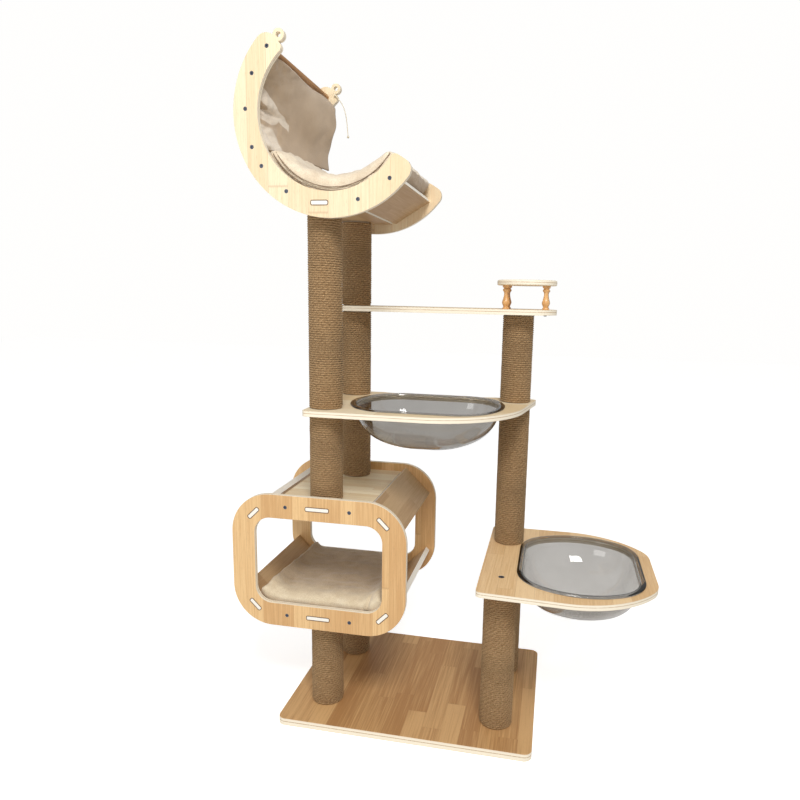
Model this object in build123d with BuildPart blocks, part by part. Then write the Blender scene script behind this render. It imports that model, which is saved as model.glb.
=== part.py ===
"""Cat tree: a base plate, roped posts, a box cabin, three shelves, two clear bowls, a small
round perch and a crescent bed.

Millimetres, +Z up, +X to the right, +Y to the rear. The origin is the middle of the base
plate's underside. Four lines of posts stand at (+-post_x, +-post_y); each line is cut into
lengths that stand between the boards and are bolted through them.
"""
from build123d import *
import os
from math import cos, degrees, hypot, pi, radians, sin, sqrt, tan

os.makedirs("parts", exist_ok=True)

# --- driving dimensions ---------------------------------------------------------------
# boards
board = 15.0               # every shelf, panel and slat
edge_round = 1.5           # eased edges of the shelves
base_thickness = 20.0
base_corner = 22.0
base_margin_x = 105.0      # from a post's axis to the base's edge
base_margin_y = 125.0

# posts
post_diameter = 90.0       # over the rope
rope = 6.0                 # rope diameter
core_wall = 6.0            # wall of the tube under the rope
post_y = 137.0             # axes in front of and behind the middle
plug_length = 18.0         # turned plug in each end of a tube
left_lower_post = 275.0    # base to cabin
right_lower_post = 410.0   # base to right shelf
right_middle_post = 420.0  # right shelf to middle shelf
upper_post = 255.0         # middle shelf to top shelf
rear_top_post = 245.0      # top shelf to bed

# bowls, the same moulding in both shelves
bowl_length = 436.0        # across the round sides of the rim
bowl_width = 340.0         # between the two straight sides
bowl_corner = 120.0
bowl_depth = 123.0
bowl_wall = 3.0
bowl_flange = 14.0         # rim that lies on the shelf
bowl_post_gap = 18.0       # from the middle bowl's rim to the posts beside it
right_bowl_gap = 1.5       # from the right bowl's rounded corner to the rear post
bowl_lift = 0.3            # rim stands this far off the shelf's face
bowl_hole_gap = 2.0        # between the bowl and the edge of its hole
middle_bowl_shift = 8.0    # middle bowl's centre, to the right of the posts' middle

# cabin
cabin_width = 493.0
cabin_height = 378.0
cabin_corner = 112.0
cabin_ring = 66.0          # width of wood around the openings
frame_depth = 430.0        # cabin and bed, over their two panels
flat_board_width = 262.0   # cabin top and bottom boards
upper_corner_width = 112.0
lower_corner_width = 120.0
corner_shift = 8.0         # sloping boards' middles, from the wood's middle towards the cabin's
mat_thickness = 42.0
mat_gap = 0.5              # soft pieces stand this far off the boards

# crescent bed
bed_outer = 248.5
bed_inner = 185.5
bed_shift = 42.0           # crescent's centre, to the right of the left posts
bed_start = 129.0          # degrees, top end of the crescent
bed_end = 328.5            # degrees, right end
seat_width = 160.0
seat_shift = 14.0          # seat board's centre, to the right of the left posts
seat_drop = 212.5          # seat board's middle, below the crescent's centre
rail_diameter = 16.0
ear_radius = 14.5          # ring at the crescent's top end
ear_hole = 13.0

# shelves and perch
shelf_rim = 38.0           # wood in front of and behind a bowl's rim
end_rim = 31.0             # wood at the right shelf's round end
shelf_corner = 16.0
top_shelf_width = 176.0
perch_diameter = 170.0
perch_shift = 20.0         # perch's centre, to the right of the rear right post
spindle_height = 67.0
spindle_x = 56.0
spindle_y = 36.0

# joints and fixings
fit = 0.2                  # slot around a tenon, hole around a peg
tenon_thickness = 11.0
long_tenon = 66.0
seat_tenon = 44.0
corner_tenon = 40.0
tenon_corner = 4.0
bolt = 6.0                 # frame bolts
bolt_head = 10.0
bolt_head_height = 3.2
nut_diameter = 10.0        # cross-dowel nuts in the slats
nut_length = 11.0
nut_set = 26.0             # from a slat's end to its nut
post_bolt = 8.0
post_bolt_head = 16.0
post_bolt_head_height = 4.5
post_bolt_reach = 30.0     # length in the post
socket_radius = 0.35       # hexagon socket's corners, as a share of the bolt's diameter
socket_depth = 0.6         # as a share of the head's height
screw_radius = 2.0         # perch screws
thread_gap = 0.05
hole_gap = 0.5

# toy string at the crescent's rear top end
string_diameter = 2.5
knot_diameter = 7.0
knot_gap = 0.3

# --- derived places -------------------------------------------------------------------
bowl_radius = bowl_length / 2
post_radius = post_diameter / 2
core_radius = post_radius - rope
bore_radius = core_radius - core_wall
post_x = sqrt((bowl_radius + bowl_post_gap + post_radius) ** 2 - post_y ** 2)
base_width = 2 * (post_x + base_margin_x)
base_depth = 2 * (post_y + base_margin_y)

outer_y = frame_depth / 2            # outer faces of the cabin's and bed's panels
inner_y = outer_y - board            # faces that the slats stand between

right_level = base_thickness + right_lower_post + board   # tops of the shelves
middle_level = right_level + right_middle_post + board
top_level = middle_level + upper_post + board
seat_under = top_level + rear_top_post

cabin_x = -post_x
cabin_line = cabin_height / 2 - cabin_ring / 2             # flat boards' middle, from the cabin's
cabin_z = base_thickness + left_lower_post + board / 2 + cabin_line
cabin_top = cabin_z + cabin_line + board / 2
corner_mid = cabin_corner - cabin_ring / 2                 # middle of the wood in a corner
corner_x = cabin_width / 2 - cabin_corner + corner_mid * cos(radians(45)) - corner_shift
corner_z = cabin_height / 2 - cabin_corner + corner_mid * sin(radians(45))

bed_x = -post_x + bed_shift
bed_z = seat_under + board / 2 + seat_drop
bed_mid = (bed_outer + bed_inner) / 2
seat_x = -post_x + seat_shift
seat_z = seat_under + board / 2

corner_x_in_bowl = bowl_width / 2 - bowl_corner            # centre of the rim's rounded corner
corner_y_in_bowl = sqrt((bowl_radius - bowl_corner) ** 2 - corner_x_in_bowl ** 2)
right_bowl_x = post_x + corner_x_in_bowl + sqrt((post_radius + right_bowl_gap + bowl_corner) ** 2
                                                - (post_y - corner_y_in_bowl) ** 2)
perch_x = post_x + perch_shift
perch_under = top_level + spindle_height

posts = {"front_left": (-post_x, -post_y), "rear_left": (-post_x, post_y),
         "front_right": (post_x, -post_y), "rear_right": (post_x, post_y)}


def save(piece, name):
    """Label a finished piece and write it as one file."""
    piece.part.label = name
    export_step(piece.part, f"parts/{name}.step")


def at_bed(angle, radius=bed_mid):
    """Point (x, z) on the crescent at an angle in degrees."""
    return (bed_x + radius * cos(radians(angle)), bed_z + radius * sin(radians(angle)))


# --- bolt places ----------------------------------------------------------------------
bolt_side = 90.0           # cabin bolts, left and right of the tenon
cabin_bolts = [(cabin_x + side * bolt_side, cabin_z + level * cabin_line)
               for level in (-1, 1) for side in (-1, 1)]
rail_angles = (136.5, 155.5)
slat_angles = ((177.5, 201.5), (215.0, 238.5), (289.0, 313.5))
bed_bolts = [at_bed(a) for a in rail_angles] + [at_bed(a) for pair in slat_angles for a in pair]

# --- base -----------------------------------------------------------------------------
with BuildPart() as base_plate:
    with BuildSketch():
        RectangleRounded(base_width, base_depth, base_corner)
    extrude(amount=base_thickness)
    fillet(base_plate.faces().sort_by(Axis.Z)[-1].edges(), radius=edge_round)
    with BuildSketch():
        with Locations(*posts.values()):
            Circle(post_bolt / 2 + hole_gap)
    extrude(amount=base_thickness, mode=Mode.SUBTRACT)
    with BuildSketch():
        with Locations(*posts.values()):
            Circle(post_bolt_head / 2 + hole_gap)
    extrude(amount=post_bolt_head_height + hole_gap, mode=Mode.SUBTRACT)
save(base_plate, "base_plate")


# --- posts ----------------------------------------------------------------------------
def tube(place, low, high, outside, inside):
    """Upright tube at place, between two levels."""
    with BuildPart() as made:
        with BuildSketch(Plane.XY.offset(low)):
            with Locations(place):
                Circle(outside)
                Circle(inside, mode=Mode.SUBTRACT)
        extrude(amount=high - low)
    return made


post_lengths = {
    "front_left_lower": ("front_left", base_thickness, base_thickness + left_lower_post),
    "front_left_middle": ("front_left", cabin_top, middle_level - board),
    "front_left_upper": ("front_left", middle_level, seat_under),
    "rear_left_lower": ("rear_left", base_thickness, base_thickness + left_lower_post),
    "rear_left_middle": ("rear_left", cabin_top, middle_level - board),
    "rear_left_upper": ("rear_left", middle_level, top_level - board),
    "rear_left_top": ("rear_left", top_level, seat_under),
    "front_right_lower": ("front_right", base_thickness, right_level - board),
    "rear_right_lower": ("rear_right", base_thickness, right_level - board),
    "rear_right_middle": ("rear_right", right_level, middle_level - board),
    "rear_right_upper": ("rear_right", middle_level, top_level - board),
}
for name, (line, low, high) in post_lengths.items():
    save(tube(posts[line], low, high, core_radius, bore_radius), f"{name}_core")
    save(tube(posts[line], low, high, post_radius, core_radius), f"{name}_rope")

with BuildPart() as post_plugs:
    for line, low, high in post_lengths.values():
        for level in (low, high - plug_length):
            with BuildSketch(Plane.XY.offset(level)):
                with Locations(posts[line]):
                    Circle(bore_radius)
                    Circle(post_bolt / 2 + thread_gap, mode=Mode.SUBTRACT)
            extrude(amount=plug_length)
save(post_plugs, "post_plugs")


# --- fixings between posts and boards -------------------------------------------------
def headed_bolt(place, face, way, grip):
    """Bolt whose head is sunk in a board's face and whose shank runs the given way (+-1)."""
    neck = hole_gap + post_bolt_head_height * socket_depth
    with BuildSketch(Plane.XY.offset(face + way * hole_gap)) as head:
        with Locations(place):
            Circle(post_bolt_head / 2)
            RegularPolygon(post_bolt * socket_radius, 6, mode=Mode.SUBTRACT)
    extrude(head.sketch, amount=way * post_bolt_head_height)
    with BuildSketch(Plane.XY.offset(face + way * neck)) as shank:
        with Locations(place):
            Circle(post_bolt / 2)
    extrude(shank.sketch, amount=way * (grip - neck + post_bolt_reach))


with BuildPart() as base_bolts:
    for place in posts.values():
        headed_bolt(place, 0, 1, base_thickness)
save(base_bolts, "base_bolts")

with BuildPart() as post_bolts:
    for line in ("front_left", "rear_left"):
        headed_bolt(posts[line], base_thickness + left_lower_post + board, -1, board)
        headed_bolt(posts[line], cabin_top - board, 1, board)
        headed_bolt(posts[line], seat_under + board, -1, board)
    headed_bolt(posts["front_right"], right_level, -1, board)
    headed_bolt(posts["rear_right"], top_level, -1, board)
save(post_bolts, "post_bolts")

stud_places = [("rear_right", right_level), ("front_left", middle_level),
               ("rear_left", middle_level), ("rear_right", middle_level), ("rear_left", top_level)]
with BuildPart() as joining_studs:
    for line, level in stud_places:
        with BuildSketch(Plane.XY.offset(level - board - post_bolt_reach)):
            with Locations(posts[line]):
                Circle(post_bolt / 2)
        extrude(amount=board + 2 * post_bolt_reach)
save(joining_studs, "joining_studs")


def drill(level, through=(), sunk=(), sink=0):
    """Clear holes in a level board, and head recesses in its top (sink 1) or underside (-1)."""
    with BuildSketch(Plane.XY.offset(level - board)) as holes:
        with Locations(*[posts[line] for line in (*through, *sunk)]):
            Circle(post_bolt / 2 + hole_gap)
    extrude(holes.sketch, amount=board, mode=Mode.SUBTRACT)
    if sunk:
        with BuildSketch(Plane.XY.offset(level if sink > 0 else level - board)) as recesses:
            with Locations(*[posts[line] for line in sunk]):
                Circle(post_bolt_head / 2 + hole_gap)
        recess = post_bolt_head_height + hole_gap
        extrude(recesses.sketch, amount=-sink * recess, mode=Mode.SUBTRACT)


# --- slats that run between two upright panels ----------------------------------------
def slat(centre, width, turn, tenon=0, bolts=(), side=1):
    """Board from the front panel to the rear one, its section at centre (x, z), turned by
    turn degrees. A tenon goes through both panels; nuts drop in from the given side."""
    with BuildSketch(Plane.XZ.offset(inner_y)) as section:
        with Locations(centre):
            Rectangle(width, board, rotation=turn)
    extrude(section.sketch, amount=-2 * inner_y)
    if tenon:
        with BuildSketch(Plane.XZ.offset(outer_y)) as tongue:
            with Locations(centre):
                RectangleRounded(tenon, tenon_thickness, tenon_corner, rotation=turn)
        extrude(tongue.sketch, amount=-2 * outer_y)
    for end in (-1, 1):
        for x, z in bolts:
            with BuildSketch(Plane.XZ.offset(-end * inner_y)) as hole:
                with Locations((x, z)):
                    Circle(bolt / 2 + hole_gap)
            extrude(hole.sketch, amount=end * (nut_set + nut_diameter), mode=Mode.SUBTRACT)
            depth = board / 2 + nut_length / 2 + fit
            out = side * (board / 2 - depth / 2)
            spot = (x - out * sin(radians(turn)), end * (inner_y - nut_set),
                    z + out * cos(radians(turn)))
            with Locations(Location(spot, (0, -turn, 0))):
                Cylinder(nut_diameter / 2 + fit, depth, mode=Mode.SUBTRACT)


def frame_bolts(places):
    """Bolts at both ends of each place: heads sunk in the panels, shanks through the nuts."""
    neck = bolt_head_height * socket_depth
    for end in (-1, 1):
        for place in places:
            with BuildSketch(Plane.XZ.offset(-end * (outer_y - fit))) as head:
                with Locations(place):
                    Circle(bolt_head / 2)
                    RegularPolygon(bolt * socket_radius, 6, mode=Mode.SUBTRACT)
            extrude(head.sketch, amount=end * bolt_head_height)
            with BuildSketch(Plane.XZ.offset(-end * (outer_y - fit - neck))) as shank:
                with Locations(place):
                    Circle(bolt / 2)
            extrude(shank.sketch, amount=end * (board + nut_set + nut_diameter / 2 - neck))


def cross_nuts(places):
    """Cross-dowel nuts at (x, z, turn), one near each end of the slat."""
    for end in (-1, 1):
        for x, z, turn in places:
            middle = (x, end * (inner_y - nut_set), z)
            with Locations(Location(middle, (0, -turn, 0))):
                Cylinder(nut_diameter / 2, nut_length)
            with Locations(Location(middle, (90, 0, 0))):
                Cylinder(bolt / 2 + thread_gap, 2 * nut_diameter, mode=Mode.SUBTRACT)


def panel_cuts(end, places, slots):
    """Bolt holes with sunk heads, and tenon slots (centre, length, turn), in a panel."""
    with BuildSketch(Plane.XZ.offset(-end * outer_y)) as holes:
        with Locations(*places):
            Circle(bolt / 2 + hole_gap)
        for centre, length, turn in slots:
            with Locations(centre):
                RectangleRounded(length + 2 * fit, tenon_thickness + 2 * fit, tenon_corner + fit,
                                 rotation=turn)
    extrude(holes.sketch, amount=end * board, mode=Mode.SUBTRACT)
    with BuildSketch(Plane.XZ.offset(-end * outer_y)) as recesses:
        with Locations(*places):
            Circle(bolt_head / 2 + fit)
    extrude(recesses.sketch, amount=end * (bolt_head_height + 2 * fit), mode=Mode.SUBTRACT)


# --- cabin ----------------------------------------------------------------------------
corner_slats = {
    "upper_left": ((cabin_x - corner_x, cabin_z + corner_z), upper_corner_width, 45),
    "upper_right": ((cabin_x + corner_x, cabin_z + corner_z), upper_corner_width, -45),
    "lower_left": ((cabin_x - corner_x, cabin_z - corner_z), lower_corner_width, -45),
    "lower_right": ((cabin_x + corner_x, cabin_z - corner_z), lower_corner_width, 45),
}
cabin_slots = [((cabin_x, cabin_z + side * cabin_line), long_tenon, 0) for side in (-1, 1)]
cabin_slots += [(centre, corner_tenon, turn) for centre, width, turn in corner_slats.values()]


def cabin_panel(end):
    """Rounded ring panel at the front (-1) or rear (1) of the cabin."""
    with BuildPart() as made:
        with BuildSketch(Plane.XZ.offset(-end * outer_y)):
            with Locations((cabin_x, cabin_z)):
                RectangleRounded(cabin_width, cabin_height, cabin_corner)
                RectangleRounded(cabin_width - 2 * cabin_ring, cabin_height - 2 * cabin_ring,
                                 cabin_corner - cabin_ring, mode=Mode.SUBTRACT)
        extrude(amount=end * board)
        rims = made.faces().filter_by(Axis.Y).edges()
        fillet(rims, radius=edge_round)
        panel_cuts(end, cabin_bolts, cabin_slots)
    return made


save(cabin_panel(-1), "cabin_front_panel")
save(cabin_panel(1), "cabin_rear_panel")

with BuildPart() as cabin_top_board:
    slat((cabin_x, cabin_z + cabin_line), flat_board_width, 0, long_tenon, cabin_bolts[2:], -1)
    drill(cabin_top, sunk=("front_left", "rear_left"), sink=-1)
save(cabin_top_board, "cabin_top_board")

with BuildPart() as cabin_bottom_board:
    slat((cabin_x, cabin_z - cabin_line), flat_board_width, 0, long_tenon, cabin_bolts[:2], 1)
    drill(cabin_z - cabin_line + board / 2, sunk=("front_left", "rear_left"), sink=1)
save(cabin_bottom_board, "cabin_bottom_board")

for name, (centre, width, turn) in corner_slats.items():
    with BuildPart() as corner_board:
        slat(centre, width, turn, corner_tenon)
    save(corner_board, f"cabin_{name}_board")

with BuildPart() as cabin_bolt_set:
    frame_bolts(cabin_bolts)
save(cabin_bolt_set, "cabin_bolts")

with BuildPart() as cabin_nut_set:
    cross_nuts([(x, z, 0) for x, z in cabin_bolts])
save(cabin_nut_set, "cabin_cross_nuts")

# the mat lies on the bottom board and turns up onto the lower corner boards
mat_floor = -cabin_line + board / 2 + mat_gap
mat_flat = flat_board_width / 2 + 17.0
mat_rise = 46.0
mat_bend = mat_thickness * tan(radians(22.5))
mat_slope = mat_thickness * cos(radians(45))
mat_half = [(mat_flat, mat_floor), (mat_flat + mat_rise, mat_floor + mat_rise),
            (mat_flat + mat_rise - mat_slope, mat_floor + mat_rise + mat_slope),
            (mat_flat - mat_bend, mat_floor + mat_thickness)]
mat_outline = mat_half + [(-x, z) for x, z in reversed(mat_half)]
mat_end_gap = 6.0
with BuildPart() as cabin_mat:
    with BuildSketch(Plane.XZ.offset(inner_y - mat_end_gap)) as mat_section:
        with Locations((cabin_x, cabin_z)):
            Polygon(*mat_outline, align=None)
        fillet(mat_section.vertices(), radius=mat_thickness / 4)
    extrude(amount=-2 * (inner_y - mat_end_gap))
save(cabin_mat, "cabin_mat")

# --- crescent bed ---------------------------------------------------------------------
end_rounds = (30.0, 12.0, 14.0, 26.0)   # top outer, top inner, right inner, right outer
ear_reach = 10.0                       # ear's centre, beyond the crescent's top end
seat_slot = ((seat_x, seat_z), seat_tenon, 0)


def bed_panel(end):
    """Crescent panel at the front (-1) or rear (1), with a ring for toys at its top end."""
    outer_start = at_bed(bed_start, bed_outer)
    inner_start = at_bed(bed_start, bed_inner)
    inner_end = at_bed(bed_end, bed_inner)
    outer_end = at_bed(bed_end, bed_outer)
    ends = (outer_start, inner_start, inner_end, outer_end)
    ear_angle = bed_start - degrees(ear_reach / bed_mid)
    with BuildPart() as made:
        with BuildSketch(Plane.XZ.offset(-end * outer_y)) as outline:
            with BuildLine():
                CenterArc((bed_x, bed_z), bed_outer, bed_start, bed_end - bed_start)
                CenterArc((bed_x, bed_z), bed_inner, bed_start, bed_end - bed_start)
                Line(outer_start, inner_start)
                Line(inner_end, outer_end)
            make_face()
            for spot, radius in zip(ends, end_rounds):
                fillet(outline.vertices().sort_by_distance((*spot, 0))[0], radius=radius)
            with Locations(at_bed(ear_angle, bed_mid - 2)):
                Circle(ear_radius)
                Circle(ear_hole / 2, mode=Mode.SUBTRACT)
        extrude(amount=end * board)
        panel_cuts(end, bed_bolts, [seat_slot])
    return made


save(bed_panel(-1), "bed_front_panel")
save(bed_panel(1), "bed_rear_panel")

with BuildPart() as bed_seat_board:
    slat(seat_slot[0], seat_width, 0, seat_tenon)
    drill(seat_under + board, sunk=("front_left", "rear_left"), sink=1)
save(bed_seat_board, "bed_seat_board")


def between(pair):
    """Middle (x, z), length and turn of a slat through two bolts of the crescent."""
    (x0, z0), (x1, z1) = at_bed(pair[0]), at_bed(pair[1])
    run = hypot(x1 - x0, z1 - z0)
    turn = sum(pair) / 2 + 90
    return ((x0 + x1) / 2, (z0 + z1) / 2), run, turn


slat_ends = 15.0           # slat beyond each of its bolts
slat_names = ("bed_upper_back_board", "bed_lower_back_board", "bed_front_board")
nut_places = []
for name, pair in zip(slat_names, slat_angles):
    centre, run, turn = between(pair)
    with BuildPart() as bed_slat:
        slat(centre, run + 2 * slat_ends, turn, bolts=[at_bed(a) for a in pair], side=1)
    save(bed_slat, name)
    nut_places += [(*at_bed(a), turn) for a in pair]

for name, angle in zip(("bed_top_rail", "bed_back_rail"), rail_angles):
    with BuildPart() as rail:
        with BuildSketch(Plane.XZ.offset(inner_y)):
            with Locations(at_bed(angle)):
                Circle(rail_diameter / 2)
        extrude(amount=-2 * inner_y)
        for end in (-1, 1):
            with BuildSketch(Plane.XZ.offset(-end * inner_y)):
                with Locations(at_bed(angle)):
                    Circle(bolt / 2 + thread_gap)
            extrude(amount=end * (nut_set + nut_diameter), mode=Mode.SUBTRACT)
    save(rail, name)

with BuildPart() as bed_bolt_set:
    frame_bolts(bed_bolts)
save(bed_bolt_set, "bed_bolts")

with BuildPart() as bed_nut_set:
    cross_nuts(nut_places)
save(bed_nut_set, "bed_cross_nuts")

# the mat lines the crescent from its right end to the foot of the drape
mat_start = 206.0          # degrees
mat_stop = 330.0
mat_back = bed_mid - board / 2 - 6.5   # stands on the slats
hollow = (4.0, 38.0)      # centre of the sleeping hollow, from the crescent's
hollow_radius = 177.0
bed_soft_gap = 6.0         # from the soft pieces to the panels
with BuildPart() as bed_mat:
    with BuildSketch(Plane.XZ.offset(inner_y - bed_soft_gap)):
        with BuildLine():
            CenterArc((bed_x, bed_z), mat_back, mat_start, mat_stop - mat_start)
            Line(at_bed(mat_start, mat_back), (bed_x, bed_z))
            Line((bed_x, bed_z), at_bed(mat_stop, mat_back))
        make_face()
        with Locations((bed_x + hollow[0], bed_z + hollow[1])):
            Circle(hollow_radius, mode=Mode.SUBTRACT)
    extrude(amount=-2 * (inner_y - bed_soft_gap))
save(bed_mat, "bed_mat")

# the drape hangs from the top rail to the mat: at the front it follows the back boards, at
# the rear it bows forward, so its two end sections differ and it is lofted between them
drape_thickness = 10.0
drape_radius = 199.0
drape_front = [at_bed(angle, drape_radius) for angle in (141.0, 156.0, 172.0, 188.0, 203.0)]
drape_bow = ((-150, 139), (-130, 112), (-128, 58), (-148, -5), (-151, -62))
drape_rear = [(bed_x + x, bed_z + z) for x, z in drape_bow]


def ribbon(points, thickness):
    """Closed outline of a strip of even thickness along a row of points."""
    left, right_side = [], []
    for i, (x, z) in enumerate(points):
        before, after = points[max(i - 1, 0)], points[min(i + 1, len(points) - 1)]
        along = hypot(after[0] - before[0], after[1] - before[1])
        step_x = (after[1] - before[1]) / along * thickness / 2
        step_z = (before[0] - after[0]) / along * thickness / 2
        left.append((x + step_x, z + step_z))
        right_side.append((x - step_x, z - step_z))
    return left + right_side[::-1]


with BuildPart() as bed_drape:
    for y, line in ((-inner_y + bed_soft_gap, drape_front), (inner_y - bed_soft_gap, drape_rear)):
        with BuildSketch(Plane.XZ.offset(-y)):
            Polygon(*ribbon(line, drape_thickness), align=None)
    loft(ruled=True)
save(bed_drape, "bed_drape")

# toy string: tied at the rear panel's top end, falling over its edge and hanging free
tie_x, tie_z = at_bed(bed_start + 1, bed_inner + 14)
tie_y = inner_y - knot_diameter / 2 - knot_gap
string_route = [(tie_x + 2.5, tie_y, tie_z - 2.5), (tie_x + 13, tie_y - 1, tie_z - 13),
                (tie_x + 26, tie_y - 2, tie_z - 30), (tie_x + 35, tie_y - 2, tie_z - 58),
                (tie_x + 39, tie_y - 3, tie_z - 88), (tie_x + 41, tie_y - 2, tie_z - 116)]


def bend_radii(route):
    """Largest tangent arc for each corner: 0.45 of the shorter run over the half turn's tangent."""
    radii = []
    for before, here, after in zip(route, route[1:], route[2:]):
        run_in = Vector(*here) - Vector(*before)
        run_out = Vector(*after) - Vector(*here)
        half_turn = radians(run_in.get_angle(run_out) / 2)
        radii.append(0.45 * min(run_in.length, run_out.length) / tan(half_turn))
    return radii


string_radii = bend_radii(string_route)
print("toy string radii, mm:", [round(r, 1) for r in string_radii])
with BuildPart() as toy_string:
    with BuildLine() as path:
        FilletPolyline(*string_route, radius=string_radii)
    with BuildSketch(Plane(origin=path.line @ 0, z_dir=path.line % 0)):
        Circle(string_diameter / 2)
    sweep()
save(toy_string, "toy_string")
section = pi * string_diameter ** 2 / 4
string_length = path.wire().length
print("toy string volume over section times length:",
      round(toy_string.part.volume / (section * string_length), 4), "length", round(string_length, 1))

# a knot at each end of the string: tied at the panel, and loose at the bottom
with BuildPart() as string_knots:
    for share, way in ((0, -1), (1, 1)):
        onward = (path.line % share).normalized() * way
        with Locations((path.line @ share) + onward * (knot_diameter / 2)):
            Sphere(knot_diameter / 2)
save(string_knots, "string_knots")


# --- bowls ----------------------------------------------------------------------------
def bowl_section(inset=0.0, size=1.0, turn=0):
    """Rim outline: a circle with two straight sides, drawn in by inset and scaled by size."""
    with BuildSketch(mode=Mode.PRIVATE) as rim:
        Circle((bowl_radius - inset) * size)
        Rectangle((bowl_width - 2 * inset) * size, bowl_length, mode=Mode.INTERSECT)
        fillet(rim.vertices(), radius=(bowl_corner - inset) * size)
    return rim.sketch.rotate(Axis.Z, turn)


# depth and size of the bowl's rings, each as a share of the whole
bowl_rings = [(0.0, 1.0), (0.2, 0.985), (0.4, 0.94), (0.6, 0.85), (0.76, 0.725), (0.88, 0.56), (0.96, 0.39),
              (1.0, 0.27)]


def bowl(centre, level, turn):
    """Clear bowl hanging by its flange in a shelf whose top is at level."""
    body = bowl_flange
    with BuildPart() as made:
        walls = ((bowl_depth, 0.0, Mode.ADD), (bowl_depth - bowl_wall, bowl_wall, Mode.SUBTRACT))
        for drop, wall, way in walls:
            for depth, size in bowl_rings:
                with BuildSketch(Plane.XY.offset(level + bowl_lift - depth * drop)):
                    with Locations(centre):
                        add(bowl_section(body + wall, size, turn))
            loft(ruled=True, mode=way)
        with BuildSketch(Plane.XY.offset(level + bowl_lift)):
            with Locations(centre):
                add(bowl_section(0, 1, turn))
                add(bowl_section(body + bowl_wall, 1, turn), mode=Mode.SUBTRACT)
        extrude(amount=bowl_wall)
    return made


right_bowl = bowl((right_bowl_x, 0), right_level, 0)
save(right_bowl, "right_bowl")
middle_bowl = bowl((middle_bowl_shift, 0), middle_level, 90)
save(middle_bowl, "middle_bowl")

# --- shelves --------------------------------------------------------------------------
hole_inset = bowl_flange - bowl_hole_gap
shelf_left = post_x - post_radius - 13      # right shelf's straight end
shelf_front = bowl_radius + shelf_rim
shelf_curve_x = right_bowl_x - 28           # centre of the shelf's round front and back
shelf_shoulder = shelf_front - 12           # front edge at the straight end
end_corner = 105.0
with BuildPart() as right_shelf:
    with BuildSketch(Plane.XY.offset(right_level - board)) as outline:
        with Locations((shelf_curve_x, 0)):
            Circle(shelf_front)
        Polygon((shelf_left, -shelf_shoulder), (shelf_curve_x, -shelf_front),
                (shelf_curve_x, shelf_front), (shelf_left, shelf_front), align=None)
        with Locations((shelf_left, 0)):
            Rectangle(right_bowl_x + bowl_width / 2 + end_rim - shelf_left, 2 * shelf_front,
                      align=(Align.MIN, Align.CENTER), mode=Mode.INTERSECT)
        fillet(outline.vertices().group_by(Axis.X)[-1], radius=end_corner)
        fillet(outline.vertices().group_by(Axis.X)[0], radius=shelf_corner)
        with Locations((right_bowl_x, 0)):
            add(bowl_section(hole_inset), mode=Mode.SUBTRACT)
    extrude(amount=board)
    drill(right_level, through=("rear_right",), sunk=("front_right",), sink=1)
save(right_shelf, "right_shelf")

middle_front = bowl_width / 2 + shelf_rim
middle_left = -post_x - post_radius
curve_x = 20.0
curve_radius = 260.0
curve_y = curve_radius - middle_front
curve_end = -10.0          # degrees, where the round front runs straight to the rear corner
rear_run = 186.0
scoop = 26.0               # how far the rear edge dips in behind the bowl
with BuildPart() as middle_shelf:
    with BuildSketch(Plane.XY.offset(middle_level - board)) as outline:
        with BuildLine():
            front = Line((middle_left, -middle_front), (curve_x, -middle_front))
            sweep_arc = CenterArc((curve_x, curve_y), curve_radius, -90, 90 + curve_end)
            side = Line(sweep_arc @ 1, (sweep_arc @ 1) + (sweep_arc % 1) * rear_run)
            right_rear = Line(side @ 1, (post_x - post_radius - 20, (side @ 1).Y))
            left_rear = Line((-post_x + post_radius + 30, (side @ 1).Y), (middle_left, (side @ 1).Y))
            ThreePointArc(right_rear @ 1, (0, (side @ 1).Y - scoop), left_rear @ 0)
            Line(left_rear @ 1, front @ 0)
        make_face()
        corners = outline.vertices()
        fillet([corners.group_by(Axis.X)[0][0], corners.group_by(Axis.X)[0][-1]], radius=shelf_corner)
        rear_corner = ((side @ 1).X, (side @ 1).Y, 0)
        fillet(outline.vertices().sort_by_distance(rear_corner)[0], radius=shelf_corner)
        with Locations((middle_bowl_shift, 0)):
            add(bowl_section(hole_inset, 1, 90), mode=Mode.SUBTRACT)
    extrude(amount=board)
    drill(middle_level, through=("front_left", "rear_left", "rear_right"))
save(middle_shelf, "middle_shelf")

with BuildPart() as top_shelf:
    with BuildSketch(Plane.XY.offset(top_level - board)):
        with Locations(((perch_x - post_x) / 2, post_y)):
            SlotCenterToCenter(perch_x + post_x, top_shelf_width)
    extrude(amount=board)
    drill(top_level, through=("rear_left",), sunk=("rear_right",), sink=1)
    with BuildSketch(Plane.XY.offset(top_level - board)):
        with Locations((perch_x, post_y)):
            with GridLocations(2 * spindle_x, 2 * spindle_y, 2, 2):
                Circle(screw_radius + hole_gap)
    extrude(amount=board, mode=Mode.SUBTRACT)
save(top_shelf, "top_shelf")

# --- perch ----------------------------------------------------------------------------
peg_radius = 5.0
peg_length = 8.0
screw_in_spindle = 20.0
with BuildPart() as perch_disc:
    with BuildSketch(Plane.XY.offset(perch_under)):
        with Locations((perch_x, post_y)):
            Circle(perch_diameter / 2)
    extrude(amount=board)
    fillet(perch_disc.edges().filter_by(GeomType.CIRCLE), radius=4)
    with BuildSketch(Plane.XY.offset(perch_under)):
        with Locations((perch_x, post_y)):
            with GridLocations(2 * spindle_x, 2 * spindle_y, 2, 2):
                Circle(peg_radius + fit)
    extrude(amount=peg_length + fit, mode=Mode.SUBTRACT)
save(perch_disc, "perch_disc")

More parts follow.
